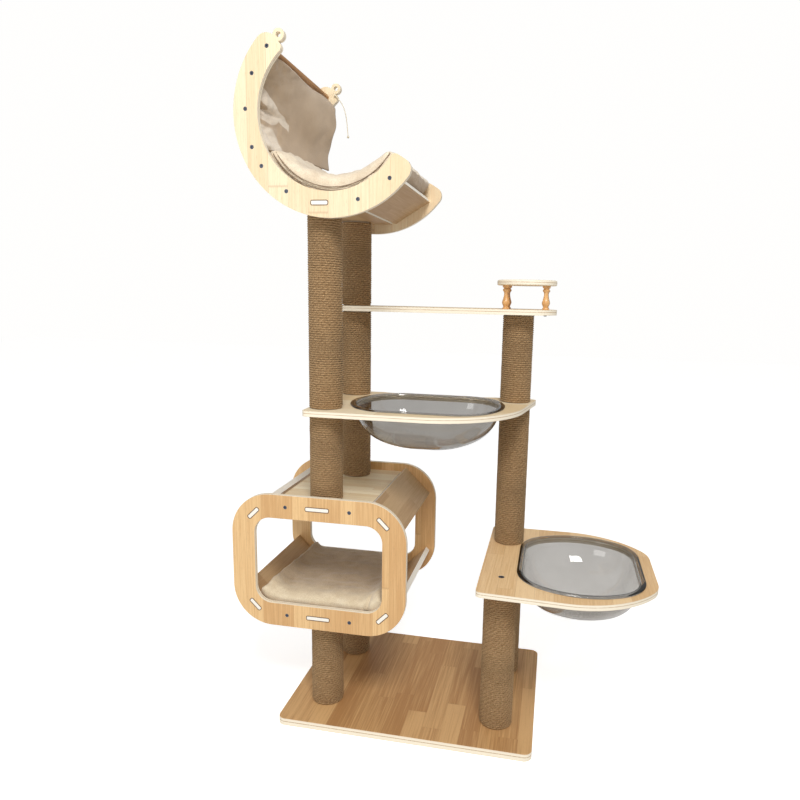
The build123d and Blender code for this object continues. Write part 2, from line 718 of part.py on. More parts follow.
# turned profile: radius at each share of the spindle's height
spindle_turns = [(0.0, 9.5), (0.05, 9.5), (0.1, 7.0), (0.16, 8.5), (0.28, 11.0), (0.45, 8.0), (0.62, 6.0),
                 (0.72, 7.0), (0.77, 9.5), (0.83, 9.5), (0.87, 7.0), (0.93, 10.5), (1.0, 11.0)]
with BuildPart() as perch_spindles:
    with BuildSketch(Plane.XZ) as profile:
        with BuildLine():
            turned = [(radius, share * spindle_height) for share, radius in spindle_turns]
            foot = Line((screw_radius, 0), turned[0])
            Polyline(*turned)
            peg_top = spindle_height + peg_length
            Polyline(turned[-1], (peg_radius, spindle_height), (peg_radius, peg_top), (0, peg_top),
                     (0, screw_in_spindle), (screw_radius, screw_in_spindle), (screw_radius, 0))
        make_face()
    spindle = revolve(axis=Axis.Z, mode=Mode.PRIVATE)
    with Locations((perch_x, post_y, top_level)):
        with GridLocations(2 * spindle_x, 2 * spindle_y, 2, 2):
            add(spindle)
save(perch_spindles, "perch_spindles")

screw_head = 3.0
with BuildPart() as perch_screws:
    with Locations((perch_x, post_y, top_level - board - screw_head)):
        with GridLocations(2 * spindle_x, 2 * spindle_y, 2, 2):
            Cylinder(screw_radius - thread_gap, board + screw_head + screw_in_spindle,
                     align=(Align.CENTER, Align.CENTER, Align.MIN))
            Cylinder(2 * screw_radius, screw_head, align=(Align.CENTER, Align.CENTER, Align.MIN))
save(perch_screws, "perch_screws")

print("post_x", round(post_x, 1), "base", round(base_width), round(base_depth), "levels", right_level,
      middle_level, top_level, "cabin_z", cabin_z, "bed", round(bed_x, 1), bed_z)
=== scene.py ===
# %% [markdown]
# # A cat tree
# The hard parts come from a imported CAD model, which is the fixed frame: posts, boards and
# bolts are already in their true places, in metres, with +Z up and +Y to the rear. This
# script gives them their finish, and makes what CAD can't: wound rope, plush, a hanging
# cloth and clear bowls with a smooth curve.

# %% Load the frame
from math import atan2, cos, hypot, pi, radians, sin, sqrt

import bmesh
import bpy
from mathutils import Matrix, Vector, noise


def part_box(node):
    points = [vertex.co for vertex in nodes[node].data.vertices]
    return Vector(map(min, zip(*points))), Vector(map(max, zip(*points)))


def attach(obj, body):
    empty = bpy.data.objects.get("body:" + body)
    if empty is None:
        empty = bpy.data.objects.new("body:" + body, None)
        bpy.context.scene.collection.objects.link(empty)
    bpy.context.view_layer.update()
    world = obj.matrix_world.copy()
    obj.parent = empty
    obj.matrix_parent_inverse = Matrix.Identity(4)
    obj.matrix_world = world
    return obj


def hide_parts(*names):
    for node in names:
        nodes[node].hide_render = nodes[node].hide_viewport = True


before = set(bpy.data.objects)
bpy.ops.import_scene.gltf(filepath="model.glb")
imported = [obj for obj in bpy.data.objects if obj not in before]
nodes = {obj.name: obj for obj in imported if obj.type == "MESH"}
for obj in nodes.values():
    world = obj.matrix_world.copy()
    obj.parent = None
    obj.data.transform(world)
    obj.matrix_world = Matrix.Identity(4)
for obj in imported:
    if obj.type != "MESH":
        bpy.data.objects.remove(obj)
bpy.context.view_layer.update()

# %% [markdown]
# ## Camera
# The tree is seen from standing chest height, a little to the right, looking slightly down,
# so the lens is wide and uprights lean. A matrix built from three angles puts the camera
# there: forward first, then right, then up, then a small roll.

# %% Camera
eye = Vector((0.3569, -1.7930, 1.1812))
yaw, pitch, roll = -0.1945, -0.1738, 0.020
forward = Vector((sin(yaw) * cos(pitch), cos(yaw) * cos(pitch), sin(pitch)))
level_right = Vector((cos(yaw), -sin(yaw), 0))
level_up = level_right.cross(forward)
right = cos(roll) * level_right + sin(roll) * level_up
up = cos(roll) * level_up - sin(roll) * level_right

camera_data = bpy.data.cameras.new("camera")
camera_data.lens = 29.36
camera_data.sensor_width = 36
camera_data.shift_x = -0.0326
camera_data.shift_y = 0.0137
camera = bpy.data.objects.new("camera", camera_data)
turned = Matrix((right, up, -forward)).transposed()
camera.matrix_world = Matrix.Translation(eye) @ turned.to_4x4()
bpy.context.scene.collection.objects.link(camera)
bpy.context.scene.camera = camera
print("camera at", eye[:])

# %% [markdown]
# ## Toy string
# A cord comes first, because it is the one piece whose real length matters. It is a NURBS
# curve with a few listed points: the order is set after the points, or it would stay
# a row of straight runs. It leaves its knot on the rear panel and hangs in a slack curve.
# Its thickness is set on the points, because a curve's box counts each point's radius.

# %% Toy string
string_diameter = 0.0025
string_points = [(-0.3291, 0.1962, 1.7653), (-0.3186, 0.1952, 1.7548), (-0.3056, 0.1942, 1.7378),
                 (-0.2966, 0.1942, 1.7098), (-0.2926, 0.1932, 1.6798), (-0.2906, 0.1942, 1.6518)]


def in_scene(name, data):
    """A new object at the origin, with the given mesh or curve."""
    made = bpy.data.objects.new(name, data)
    bpy.context.scene.collection.objects.link(made)
    return made


string_curve = bpy.data.curves.new("string_of_toy", "CURVE")
string_curve.dimensions = "3D"
spline = string_curve.splines.new("NURBS")
spline.points.add(len(string_points) - 1)
for point, place in zip(spline.points, string_points):
    point.co = (*place, 1)
    point.radius = string_diameter / 2
spline.order_u = 3
spline.use_endpoint_u = True
string_curve.resolution_u = 12
string_curve.bevel_depth = 1.0
string_curve.bevel_resolution = 4
string_curve.use_fill_caps = True
string = in_scene("string_of_toy", string_curve)
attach(string, "tree")
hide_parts("toy_string")
print("string points", len(string_points))

# %% [markdown]
# ## Small helpers for node trees
# Every finish is a tree of nodes, so two helpers make one node with its settings and
# inputs in one line. An input is either a value or the output of another node.


# %% Node helpers
def add_node(tree, kind, inputs=None, **settings):
    """One node; settings first, because some change which sockets there are."""
    made = tree.nodes.new(kind)
    for key, value in settings.items():
        setattr(made, key, value)
    for key, value in (inputs or {}).items():
        socket = made.inputs[key]
        if isinstance(value, bpy.types.NodeSocket):
            tree.links.new(value, socket)
        else:
            socket.default_value = value
    return made


def maths(tree, operation, *values):
    """Output of a Math node."""
    return add_node(tree, "ShaderNodeMath", dict(enumerate(values)), operation=operation).outputs[0]


def plus(tree, a, b):
    return maths(tree, "ADD", a, b)


def minus(tree, a, b):
    return maths(tree, "SUBTRACT", a, b)


def times(tree, a, b):
    return maths(tree, "MULTIPLY", a, b)


def weighted(tree, a, share_a, b, share_b):
    """Output of a * share_a + b * share_b."""
    return plus(tree, times(tree, a, share_a), times(tree, b, share_b))


def dot(tree, a, b):
    made = add_node(tree, "ShaderNodeVectorMath", {0: a, 1: b}, operation="DOT_PRODUCT")
    return made.outputs["Value"]


def ramp(tree, value, low, high, first=0.0, last=1.0):
    """Smooth step from first to last as value goes from low to high."""
    made = add_node(tree, "ShaderNodeMapRange", {0: value, 1: low, 2: high, 3: first, 4: last},
                    interpolation_type="SMOOTHSTEP")
    return made.outputs[0]


def mix(tree, share, a, b, blend="MIX"):
    """Output of a colour Mix node."""
    made = add_node(tree, "ShaderNodeMix", data_type="RGBA", blend_type=blend)
    for index, value in ((0, share), (6, a), (7, b)):
        if isinstance(value, bpy.types.NodeSocket):
            tree.links.new(value, made.inputs[index])
        else:
            made.inputs[index].default_value = value
    return made.outputs[2]


def grain_noise(tree, place, scale, detail=4.0, rough=0.55):
    made = add_node(tree, "ShaderNodeTexNoise", {"Vector": place, "Scale": scale, "Detail": detail,
                                                 "Roughness": rough})
    return made.outputs["Fac"]


def new_group(name, inputs, outputs):
    """An empty shader group with named sockets; gives the tree, its input and its output node."""
    tree = bpy.data.node_groups.new(name, "ShaderNodeTree")
    for label, kind in inputs.items():
        tree.interface.new_socket(label, in_out="INPUT", socket_type=kind)
    for label, kind in outputs.items():
        tree.interface.new_socket(label, in_out="OUTPUT", socket_type=kind)
    return tree, tree.nodes.new("NodeGroupInput"), tree.nodes.new("NodeGroupOutput")


def new_material(name):
    """A material with one Principled shader; gives the material, its tree and the shader."""
    made = bpy.data.materials.new(name)
    made.use_nodes = True
    tree = made.node_tree
    return made, tree, tree.nodes["Principled BSDF"]


def object_place(tree):
    """The point's place in the object's own coordinates."""
    return add_node(tree, "ShaderNodeTexCoord").outputs["Object"]


def surface(tree, shader, colours, rough=None):
    """Links a colour and a roughness that vary over the surface to the shader."""
    tree.links.new(colours, shader.inputs["Base Color"])
    if rough is not None:
        tree.links.new(rough, shader.inputs["Roughness"])


def bumped(tree, shader, height, strength, distance):
    """Sends a height through a Bump node into the shader's Normal."""
    bump = add_node(tree, "ShaderNodeBump", {"Strength": strength, "Distance": distance, "Height": height})
    tree.links.new(bump.outputs[0], shader.inputs["Normal"])


def set_plain(shader, **values):
    """Values that are the same all over a surface, set on the shader's own sockets."""
    for key, value in values.items():
        shader.inputs[key.replace("_", " ")].default_value = value


def colour(red, green, blue):
    return (red, green, blue, 1.0)


FLOAT, VECTOR, COLOUR = "NodeSocketFloat", "NodeSocketVector", "NodeSocketColor"

# %% [markdown]
# ## Board wood
# The boards are glued up from rubberwood staves: strips about 50 mm wide whose pieces are
# finger-jointed end to end, so every piece has its own tone. Their edges are sealed pale
# layers with a thin brown glue line. One group draws all of it from three measures of a
# point: along the grain, across the staves, and through the thickness. The tone of a piece
# is a white-noise number picked by which stave and which piece the point is in.

# %% Board group
board_group, given, result = new_group(
    "board_wood",
    {"Place": VECTOR, "Facing": VECTOR, "Across": VECTOR, "Along": VECTOR, "Middle": FLOAT,
     "Half": FLOAT, "Stave": FLOAT, "Piece": FLOAT, "Light": COLOUR, "Dark": COLOUR,
     "Edge": COLOUR, "Glue": COLOUR},
    {"Color": COLOUR, "Roughness": FLOAT, "Height": FLOAT})
tree = board_group
source = given.outputs
sideways = add_node(tree, "ShaderNodeVectorMath", {0: source["Across"], 1: source["Along"]},
                    operation="CROSS_PRODUCT").outputs[0]
along = dot(tree, source["Place"], source["Along"])
across = dot(tree, source["Place"], sideways)
through = minus(tree, dot(tree, source["Place"], source["Across"]), source["Middle"])
stave = maths(tree, "DIVIDE", across, source["Stave"])
stave_index = maths(tree, "FLOOR", stave)
stave_pick = add_node(tree, "ShaderNodeTexWhiteNoise", {"W": stave_index}, noise_dimensions="1D")
stave_shift = times(tree, stave_pick.outputs[0], 9.0)
piece_along = plus(tree, maths(tree, "DIVIDE", along, source["Piece"]), stave_shift)
piece_index = maths(tree, "FLOOR", piece_along)
piece_pick = add_node(tree, "ShaderNodeCombineXYZ", {0: stave_index, 1: piece_index}).outputs[0]
piece = add_node(tree, "ShaderNodeTexWhiteNoise", {"Vector": piece_pick}, noise_dimensions="3D")
tone = piece.outputs["Value"]
shift = times(tree, tone, 37.0)


def stretched(lengthwise, crosswise):
    """Point in the board's own measures, drawn out along the grain, moved for each piece."""
    parts = {0: plus(tree, times(tree, along, lengthwise), shift),
             1: times(tree, across, crosswise), 2: times(tree, through, crosswise)}
    return add_node(tree, "ShaderNodeCombineXYZ", parts).outputs[0]


figure = grain_noise(tree, stretched(3.0, 34.0), 1.0, 3.0)
streak = grain_noise(tree, stretched(7.0, 260.0), 1.0, 4.0)
pore = ramp(tree, grain_noise(tree, stretched(60.0, 1300.0), 1.0, 1.0), 0.62, 0.72)
amount = weighted(tree, tone, 0.72, figure, 0.30)
amount = plus(tree, amount, times(tree, minus(tree, streak, 0.5), 1.5))
amount = ramp(tree, amount, 0.05, 0.95)
face = mix(tree, amount, source["Light"], source["Dark"])
pore_brown, seam_brown = colour(0.30, 0.16, 0.07), colour(0.36, 0.19, 0.08)
face = mix(tree, times(tree, pore, 0.30), face, pore_brown)
seam_across = maths(tree, "PINGPONG", stave, 0.5)
seam_ends = maths(tree, "PINGPONG", piece_along, 0.5)
seam = maths(tree, "MAXIMUM", ramp(tree, seam_across, 0.0, 0.022, 1.0, 0.0),
             ramp(tree, seam_ends, 0.0, 0.0035, 1.0, 0.0))
face = mix(tree, times(tree, seam, 0.30), face, seam_brown)
depth = maths(tree, "DIVIDE", through, source["Half"])
glue_line = ramp(tree, maths(tree, "ABSOLUTE", minus(tree, depth, 0.12)), 0.05, 0.14, 1.0, 0.0)
rim_line = ramp(tree, maths(tree, "ABSOLUTE", depth), 0.80, 0.97)
fleck = grain_noise(tree, stretched(16.0, 420.0), 1.0, 3.0)
lines = times(tree, maths(tree, "MAXIMUM", glue_line, times(tree, rim_line, 0.35)),
              ramp(tree, fleck, 0.30, 0.62, 0.45, 1.0))
edge = mix(tree, lines, source["Edge"], source["Glue"])
flat = maths(tree, "ABSOLUTE", dot(tree, source["Facing"], source["Across"]))
is_edge = ramp(tree, flat, 0.55, 0.85, 1.0, 0.0)
tree.links.new(mix(tree, is_edge, face, edge), result.inputs["Color"])
rough = plus(tree, 0.40, times(tree, streak, 0.22))
tree.links.new(rough, result.inputs["Roughness"])
height = minus(tree, streak, plus(tree, times(tree, seam, 0.7), pore))
tree.links.new(height, result.inputs["Height"])
print("board group nodes", len(tree.nodes))

# %% [markdown]
# Each board gets a material of its own, because the direction of its grain and the place
# of its middle layer are its own. The tones are pairs, light and dark: one pair each for the
# base, the panels, the right shelf, the thin shelves, the bed and the slats, which are
# darker: their darker pair is painted shade, for they sit inside the cabin and under the bed.
# The slats' edges have no glue line, so their ends are plain pale wood.

# %% Board materials
X, Y, Z = Vector((1, 0, 0)), Vector((0, 1, 0)), Vector((0, 0, 1))
warm = (colour(0.92, 0.66, 0.37), colour(0.75, 0.48, 0.23))
base_tone = (colour(0.70, 0.43, 0.19), colour(0.45, 0.23, 0.085))
panel_tone = (colour(0.83, 0.555, 0.265), colour(0.63, 0.36, 0.145))
pale = (colour(0.90, 0.78, 0.56), colour(0.76, 0.58, 0.34))
birch = (colour(0.90, 0.76, 0.52), colour(0.82, 0.62, 0.38))
# shaded: the darker pair for the slats inside the cabin and under the bed is painted shade
shaded = (colour(0.56, 0.38, 0.20), colour(0.44, 0.27, 0.13))
edge_pale, glue_brown, end_pale = colour(0.92, 0.83, 0.66), colour(0.46, 0.28, 0.13), colour(0.93, 0.89, 0.80)
half_base, half_board = 0.010, 0.0075
long_piece, short_piece = 1.3, 0.31


def board_material(name, across, along, stave, tones):
    """Board wood for one board: across is the direction through it, along its grain."""
    made, tree, shader = new_material(name)
    low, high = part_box(name)
    slat = name.endswith("_board")
    facing = add_node(tree, "ShaderNodeNewGeometry").outputs["Normal"]
    group = add_node(tree, "ShaderNodeGroup", node_tree=board_group)
    inputs = {"Place": object_place(tree), "Facing": facing, "Across": across, "Along": along,
              "Middle": ((low + high) / 2).dot(across), "Stave": stave,
              "Half": half_base if name == "base_plate" else half_board,
              "Piece": long_piece if along == Z else short_piece, "Light": tones[0], "Dark": tones[1],
              "Edge": end_pale if slat else edge_pale, "Glue": end_pale if slat else glue_brown}
    for key, value in inputs.items():
        if isinstance(value, bpy.types.NodeSocket):
            tree.links.new(value, group.inputs[key])
        else:
            group.inputs[key].default_value = value
    surface(tree, shader, group.outputs["Color"], group.outputs["Roughness"])
    bumped(tree, shader, group.outputs["Height"], 0.12, 0.0006)
    set_plain(shader, Coat_Weight=0.12, Coat_Roughness=0.35)
    return made


def dress(name, material):
    """Gives a CAD node its material, in the slots of its object."""
    target = nodes[name]
    if not target.material_slots:
        target.data.materials.append(material)
    for material_slot in target.material_slots:
        material_slot.link = "OBJECT"
        material_slot.material = material


def tilt(degrees_up):
    """Direction through a slat whose section is turned by this many degrees."""
    return Vector((-sin(radians(degrees_up)), 0, cos(radians(degrees_up))))


boards = {
    "base_plate": (Z, Y, 0.052, base_tone), "right_shelf": (Z, Y, 0.048, warm),
    "middle_shelf": (Z, X, 0.07, pale), "top_shelf": (Z, X, 0.06, pale),
    "perch_disc": (Z, X, 0.05, pale),
    "cabin_front_panel": (Y, Z, 0.045, panel_tone), "cabin_rear_panel": (Y, Z, 0.045, panel_tone),
    "bed_front_panel": (Y, Z, 0.052, birch), "bed_rear_panel": (Y, Z, 0.052, birch),
    "cabin_top_board": (Z, X, 0.022, pale), "cabin_bottom_board": (Z, X, 0.05, shaded),
    "cabin_upper_left_board": (tilt(45), Y, 0.05, shaded),
    "cabin_upper_right_board": (tilt(-45), Y, 0.05, shaded),
    "cabin_lower_left_board": (tilt(-45), Y, 0.05, shaded),
    "cabin_lower_right_board": (tilt(45), Y, 0.05, shaded),
    "bed_seat_board": (Z, Y, 0.05, shaded), "bed_front_board": (tilt(31.25), Y, 0.05, shaded),
    "bed_upper_back_board": (tilt(279.5), Y, 0.05, shaded),
    "bed_lower_back_board": (tilt(316.75), Y, 0.05, shaded),
}
for name, (across, along, stave, tones) in boards.items():
    dress(name, board_material(name, across, along, stave, tones))
print("boards finished", len(boards))

# %% [markdown]
# ## Turned wood, tubes and steel
# Rails and spindles are round and varnished, so they have no edge layers: their grain is a
# stretched noise. The paper tubes and plugs are almost hidden, and the bolts are zinc plated.


# %% Round wood and steel
def grained_material(name, light, dark, stretch, roughness, bump_height=0.0003, **plain):
    """Grain of a stretched noise, in the object's own coordinates."""
    made, tree, shader = new_material(name)
    place = object_place(tree)
    drawn = add_node(tree, "ShaderNodeMapping", {"Vector": place, "Scale": stretch}).outputs[0]
    streaks = grain_noise(tree, drawn, 1.0, 5.0)
    cloud = grain_noise(tree, place, 14.0, 2.0)
    share = ramp(tree, weighted(tree, streaks, 0.7, cloud, 0.3), 0.34, 0.66)
    surface(tree, shader, mix(tree, share, light, dark),
            ramp(tree, streaks, 0.2, 0.8, roughness - 0.06, roughness + 0.1))
    bumped(tree, shader, streaks, 0.3, bump_height)
    set_plain(shader, **plain)
    return made


# the rails' dark brown pair is painted shade, for they sit in the bed's shade
shaded_rail_wood = grained_material("shaded_rail_wood", colour(0.52, 0.27, 0.10), colour(0.33, 0.155, 0.05),
                             (240, 8, 240), 0.42)
turned_wood = grained_material("turned_wood", colour(0.80, 0.47, 0.19), colour(0.60, 0.29, 0.09),
                               (260, 260, 22), 0.32, Coat_Weight=0.5, Coat_Roughness=0.18)
plug_wood = grained_material("plug_wood", colour(0.70, 0.54, 0.34), colour(0.52, 0.37, 0.21),
                             (200, 200, 12), 0.62)
paper_tube = grained_material("paper_tube", colour(0.52, 0.42, 0.30), colour(0.38, 0.29, 0.19),
                              (30, 30, 160), 0.80)
bolt_steel = grained_material("bolt_steel", colour(0.17, 0.19, 0.23), colour(0.09, 0.10, 0.13),
                              (600, 60, 600), 0.48, 0.00005, Metallic=1.0)
for name in ("bed_top_rail", "bed_back_rail"):
    dress(name, shaded_rail_wood)
dress("post_plugs", plug_wood)
for name in nodes:
    if name.endswith("_core"):
        dress(name, paper_tube)
for name in ("base_bolts", "post_bolts", "joining_studs", "cabin_bolts", "cabin_cross_nuts", "bed_bolts",
             "bed_cross_nuts", "perch_screws"):
    dress(name, bolt_steel)
print("tubes", sum(name.endswith("_core") for name in nodes))

# %% [markdown]
# ## Rope finish
# Jute is fuzzy and uneven: pale stray fibres over a brown body, twisted from three strands.
# The twist must follow the rope and not the room, so the mesh carries two attributes, the
# length along the rope and the share of a turn round it, and the material reads them.

# %% Rope material
rope_material, tree, shader = new_material("jute_rope")
strand_pitch = 0.0135
place = object_place(tree)
rope_along = add_node(tree, "ShaderNodeAttribute", attribute_name="rope_along").outputs["Fac"]
rope_round = add_node(tree, "ShaderNodeAttribute", attribute_name="rope_round").outputs["Fac"]
twist = plus(tree, times(tree, rope_round, 3.0),
              maths(tree, "DIVIDE", rope_along, strand_pitch))
strand = maths(tree, "PINGPONG", twist, 0.5)
strand_bump = ramp(tree, strand, 0.0, 0.30)
mottle = grain_noise(tree, place, 330.0, 4.0, 0.65)
cloud = grain_noise(tree, place, 21.0, 3.0, 0.6)
fibre_parts = {0: times(tree, twist, 5.0), 1: times(tree, rope_along, 130.0)}
fibre_place = add_node(tree, "ShaderNodeCombineXYZ", fibre_parts).outputs[0]
fibre = grain_noise(tree, fibre_place, 1.0, 4.0, 0.7)
share = weighted(tree, mottle, 0.60, fibre, 0.40)
dark_brown, jute = colour(0.165, 0.080, 0.026), colour(0.54, 0.355, 0.185)
worn, pale_fibre, painted_groove_shade = colour(0.40, 0.25, 0.12), colour(0.68, 0.50, 0.29), colour(0.09, 0.045, 0.018)
body_colour = mix(tree, ramp(tree, share, 0.36, 0.64), dark_brown, jute)
body_colour = mix(tree, ramp(tree, cloud, 0.3, 0.7, 0.0, 0.30), body_colour, worn)
body_colour = mix(tree, ramp(tree, fibre, 0.60, 0.74, 0.0, 0.55), body_colour, pale_fibre)
# painted shade: the grooves between the strands are darkened
body_colour = mix(tree, ramp(tree, strand, 0.0, 0.16, 0.55, 0.0), body_colour, painted_groove_shade)
surface(tree, shader, body_colour)
rope_height = plus(tree, strand_bump, weighted(tree, mottle, 0.9, fibre, 0.6))
bumped(tree, shader, rope_height, 0.75, 0.0011)
set_plain(shader, Roughness=0.92, Specular_IOR_Level=0.15, Sheen_Weight=0.35, Sheen_Roughness=0.6,
          Sheen_Tint=colour(0.8, 0.62, 0.40))

# %% [markdown]
# ## Wound rope
# The rope is wound edge to edge round each tube, so a spiral curve with a round profile is
# the whole shape. Geometry Nodes make it from five numbers, and a little noise in the
# spiral's radius keeps the winding from looking machined. Storing the spline's length and
# the profile's turn before the sweep is what lets the finish follow the rope.

# %% Growing trees
GEOMETRY, MATERIAL = "NodeSocketGeometry", "NodeSocketMaterial"


def growing_tree(name, inputs):
    """A Geometry Nodes tree with named inputs; gives the tree and its input sockets."""
    tree = bpy.data.node_groups.new(name, "GeometryNodeTree")
    for label, kind in {**inputs, "Finish": MATERIAL}.items():
        tree.interface.new_socket(label, in_out="INPUT", socket_type=kind)
    tree.interface.new_socket("Geometry", in_out="OUTPUT", socket_type=GEOMETRY)
    return tree, tree.nodes.new("NodeGroupInput").outputs


def end_tree(tree, made, finish):
    """Ends a tree: instances become real geometry, which gets its material."""
    real = add_node(tree, "GeometryNodeRealizeInstances", {0: made.outputs[0]})
    done = add_node(tree, "GeometryNodeSetMaterial", {"Geometry": real.outputs[0], "Material": finish})
    tree.links.new(done.outputs[0], tree.nodes.new("NodeGroupOutput").inputs["Geometry"])


def kept_attribute(tree, geometry, name, value):
    """Stores a number on every point, for the finish to read."""
    return add_node(tree, "GeometryNodeStoreNamedAttribute",
                    {"Geometry": geometry.outputs[0], "Name": name, "Value": value},
                    data_type="FLOAT", domain="POINT")


# %% Rope tree
rope_tree, rope_in = growing_tree("wound_rope", {"Turns": FLOAT, "Radius": FLOAT, "Height": FLOAT,
                                                 "Strand": FLOAT, "Foot": VECTOR})
rope_unevenness = 0.0016
spiral = add_node(rope_tree, "GeometryNodeCurveSpiral", {
    "Resolution": 40, "Rotations": rope_in["Turns"], "Start Radius": rope_in["Radius"],
    "End Radius": rope_in["Radius"], "Height": rope_in["Height"]})
moved = add_node(rope_tree, "GeometryNodeTransform", {"Geometry": spiral.outputs[0],
                                                      "Translation": rope_in["Foot"]})
spot = add_node(rope_tree, "GeometryNodeInputPosition").outputs[0]
wobble = add_node(rope_tree, "ShaderNodeTexNoise", {"Vector": spot, "Scale": 55.0, "Detail": 2.0})
centred = add_node(rope_tree, "ShaderNodeVectorMath", {0: wobble.outputs["Color"], 1: (0.5, 0.5, 0.5)},
                   operation="SUBTRACT")
small = add_node(rope_tree, "ShaderNodeVectorMath", {0: centred.outputs[0], "Scale": rope_unevenness},
                 operation="SCALE")
uneven = add_node(rope_tree, "GeometryNodeSetPosition", {"Geometry": moved.outputs[0],
                                                         "Offset": small.outputs[0]})
spline_length = add_node(rope_tree, "GeometryNodeSplineParameter").outputs["Length"]
kept_length = kept_attribute(rope_tree, uneven, "rope_along", spline_length)
profile = add_node(rope_tree, "GeometryNodeCurvePrimitiveCircle", {"Resolution": 8,
                                                                   "Radius": rope_in["Strand"]})
turn_share = add_node(rope_tree, "GeometryNodeSplineParameter").outputs["Factor"]
kept_turn = kept_attribute(rope_tree, profile, "rope_round", turn_share)
swept = add_node(rope_tree, "GeometryNodeCurveToMesh", {
    "Curve": kept_length.outputs[0], "Profile Curve": kept_turn.outputs[0], "Fill Caps": True})
smooth = add_node(rope_tree, "GeometryNodeSetShadeSmooth", {0: swept.outputs[0]})
end_tree(rope_tree, smooth, rope_in["Finish"])


def grown(name, tree, values, base=None):
    """Plain mesh object of what a Geometry Nodes tree makes with these input values."""
    seed = in_scene(name + "_seed", base or bpy.data.meshes.new(name + "_seed"))
    modifier = seed.modifiers.new("grow", "NODES")
    modifier.node_group = tree
    for item in tree.interface.items_tree:
        if item.item_type == "SOCKET" and item.in_out == "INPUT" and item.name in values:
            modifier[item.identifier] = values[item.name]
    bpy.context.view_layer.update()
    evaluated = seed.evaluated_get(bpy.context.evaluated_depsgraph_get())
    mesh = bpy.data.meshes.new_from_object(evaluated)
    seed.modifiers.clear()
    bpy.data.objects.remove(seed)
    mesh.name = name
    return in_scene(name, mesh)


# %% Wind every post
strand_radius, rope_pitch, proud = 0.0031, 0.0060, 0.0002
for name in [n for n in nodes if n.endswith("_rope")]:
    low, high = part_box(name)
    middle = (low + high) / 2
    rise = high.z - low.z - 2 * strand_radius
    turns = round(rise / rope_pitch)
    wound = grown("wound_" + name, rope_tree, {
        "Turns": float(turns), "Radius": (high.x - low.x) / 2 - strand_radius + proud, "Height": rise,
        "Strand": strand_radius, "Foot": (middle.x, middle.y, low.z + strand_radius),
        "Finish": rope_material})
    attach(wound, "tree")
    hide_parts(name)
print("last rope has", turns, "turns and", len(wound.data.polygons), "faces")

# %% [markdown]
# ## Burnt outlines of the tenons
# The tongues of the slats come through the panels, and the slots were cut with a hot tool,
# so a thin dark line runs round each tongue. It is one small ring, placed on points that
# carry its turn: a job for instances.

# %% Burnt outlines
burn_material, tree, shader = new_material("burnt_line")
burn_share = ramp(tree, grain_noise(tree, object_place(tree), 700.0, 3.0), 0.35, 0.65)
surface(tree, shader, mix(tree, burn_share, colour(0.10, 0.05, 0.025), colour(0.22, 0.12, 0.06)))
set_plain(shader, Roughness=0.85)

ring_tree, ring_in = growing_tree("outline_rings", {"Geometry": GEOMETRY, "Length": FLOAT, "Width": FLOAT,
                                                    "Corner": FLOAT, "Line": FLOAT})
outline = add_node(ring_tree, "GeometryNodeCurvePrimitiveQuadrilateral", {"Width": ring_in["Length"],
                                                                          "Height": ring_in["Width"]})
rounded = add_node(ring_tree, "GeometryNodeFilletCurve", mode="POLY")
ring_tree.links.new(outline.outputs[0], rounded.inputs["Curve"])
ring_tree.links.new(ring_in["Corner"], rounded.inputs["Radius"])
rounded.inputs["Count"].default_value = 6
line_profile = add_node(ring_tree, "GeometryNodeCurvePrimitiveCircle", {"Resolution": 6,
                                                                        "Radius": ring_in["Line"]})
ring = add_node(ring_tree, "GeometryNodeCurveToMesh", {"Curve": rounded.outputs[0],
                                                       "Profile Curve": line_profile.outputs[0]})
upright = add_node(ring_tree, "GeometryNodeTransform", {"Geometry": ring.outputs[0],
                                                        "Rotation": (pi / 2, 0, 0)})
ring_turn = add_node(ring_tree, "GeometryNodeInputNamedAttribute", {"Name": "turn"}, data_type="FLOAT_VECTOR")
ring_copies = add_node(ring_tree, "GeometryNodeInstanceOnPoints", {
    "Points": ring_in["Geometry"], "Instance": upright.outputs[0], "Rotation": ring_turn.outputs[0]})
end_tree(ring_tree, ring_copies, ring_in["Finish"])

# %% Place the outlines
cabin_low, cabin_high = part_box("cabin_front_panel")
cabin_centre = (cabin_low + cabin_high) / 2
panel_front, panel_rear = cabin_low.y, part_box("cabin_rear_panel")[1].y
corner_x, corner_z, board_line = 0.1824, 0.1329, 0.156
long_tongue, corner_tongue, seat_tongue = 0.066, 0.040, 0.044
seat_low, seat_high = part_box("bed_seat_board")
seat_middle = (seat_low + seat_high) / 2
tongues = {
    "cabin_long_outlines": (long_tongue, [(cabin_centre.x, cabin_centre.z + side * board_line, 0)
                                          for side in (-1, 1)]),
    "cabin_corner_outlines": (corner_tongue, [
        (cabin_centre.x + a * corner_x, cabin_centre.z + b * corner_z, a * b * 45)
        for a in (-1, 1) for b in (-1, 1)]),
    "bed_outlines": (seat_tongue, [(seat_middle.x, seat_middle.z, 0)]),
}
for name, (length, places) in tongues.items():
    seeds = bpy.data.meshes.new(name)
    spots = [(x, y, z, turn) for x, z, turn in places for y in (panel_front + 0.0001, panel_rear - 0.0001)]
    seeds.from_pydata([spot[:3] for spot in spots], [], [])
    turn_data = seeds.attributes.new("turn", "FLOAT_VECTOR", "POINT").data
    for item, spot in zip(turn_data, spots):
        item.vector = (0, radians(spot[3]), 0)
    rings = grown(name, ring_tree, {"Length": length + 0.0004, "Width": 0.0114, "Corner": 0.0042,
                                    "Line": 0.0011, "Finish": burn_material}, seeds)
    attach(rings, "tree")
print("outline sets", len(tongues))

# %% [markdown]
# ## Perch spindles
# A turned spindle is a profile spun round its axis. The CAD profile is a row of straight
# runs, so here the same widths are joined by a smooth curve and spun with fine steps.


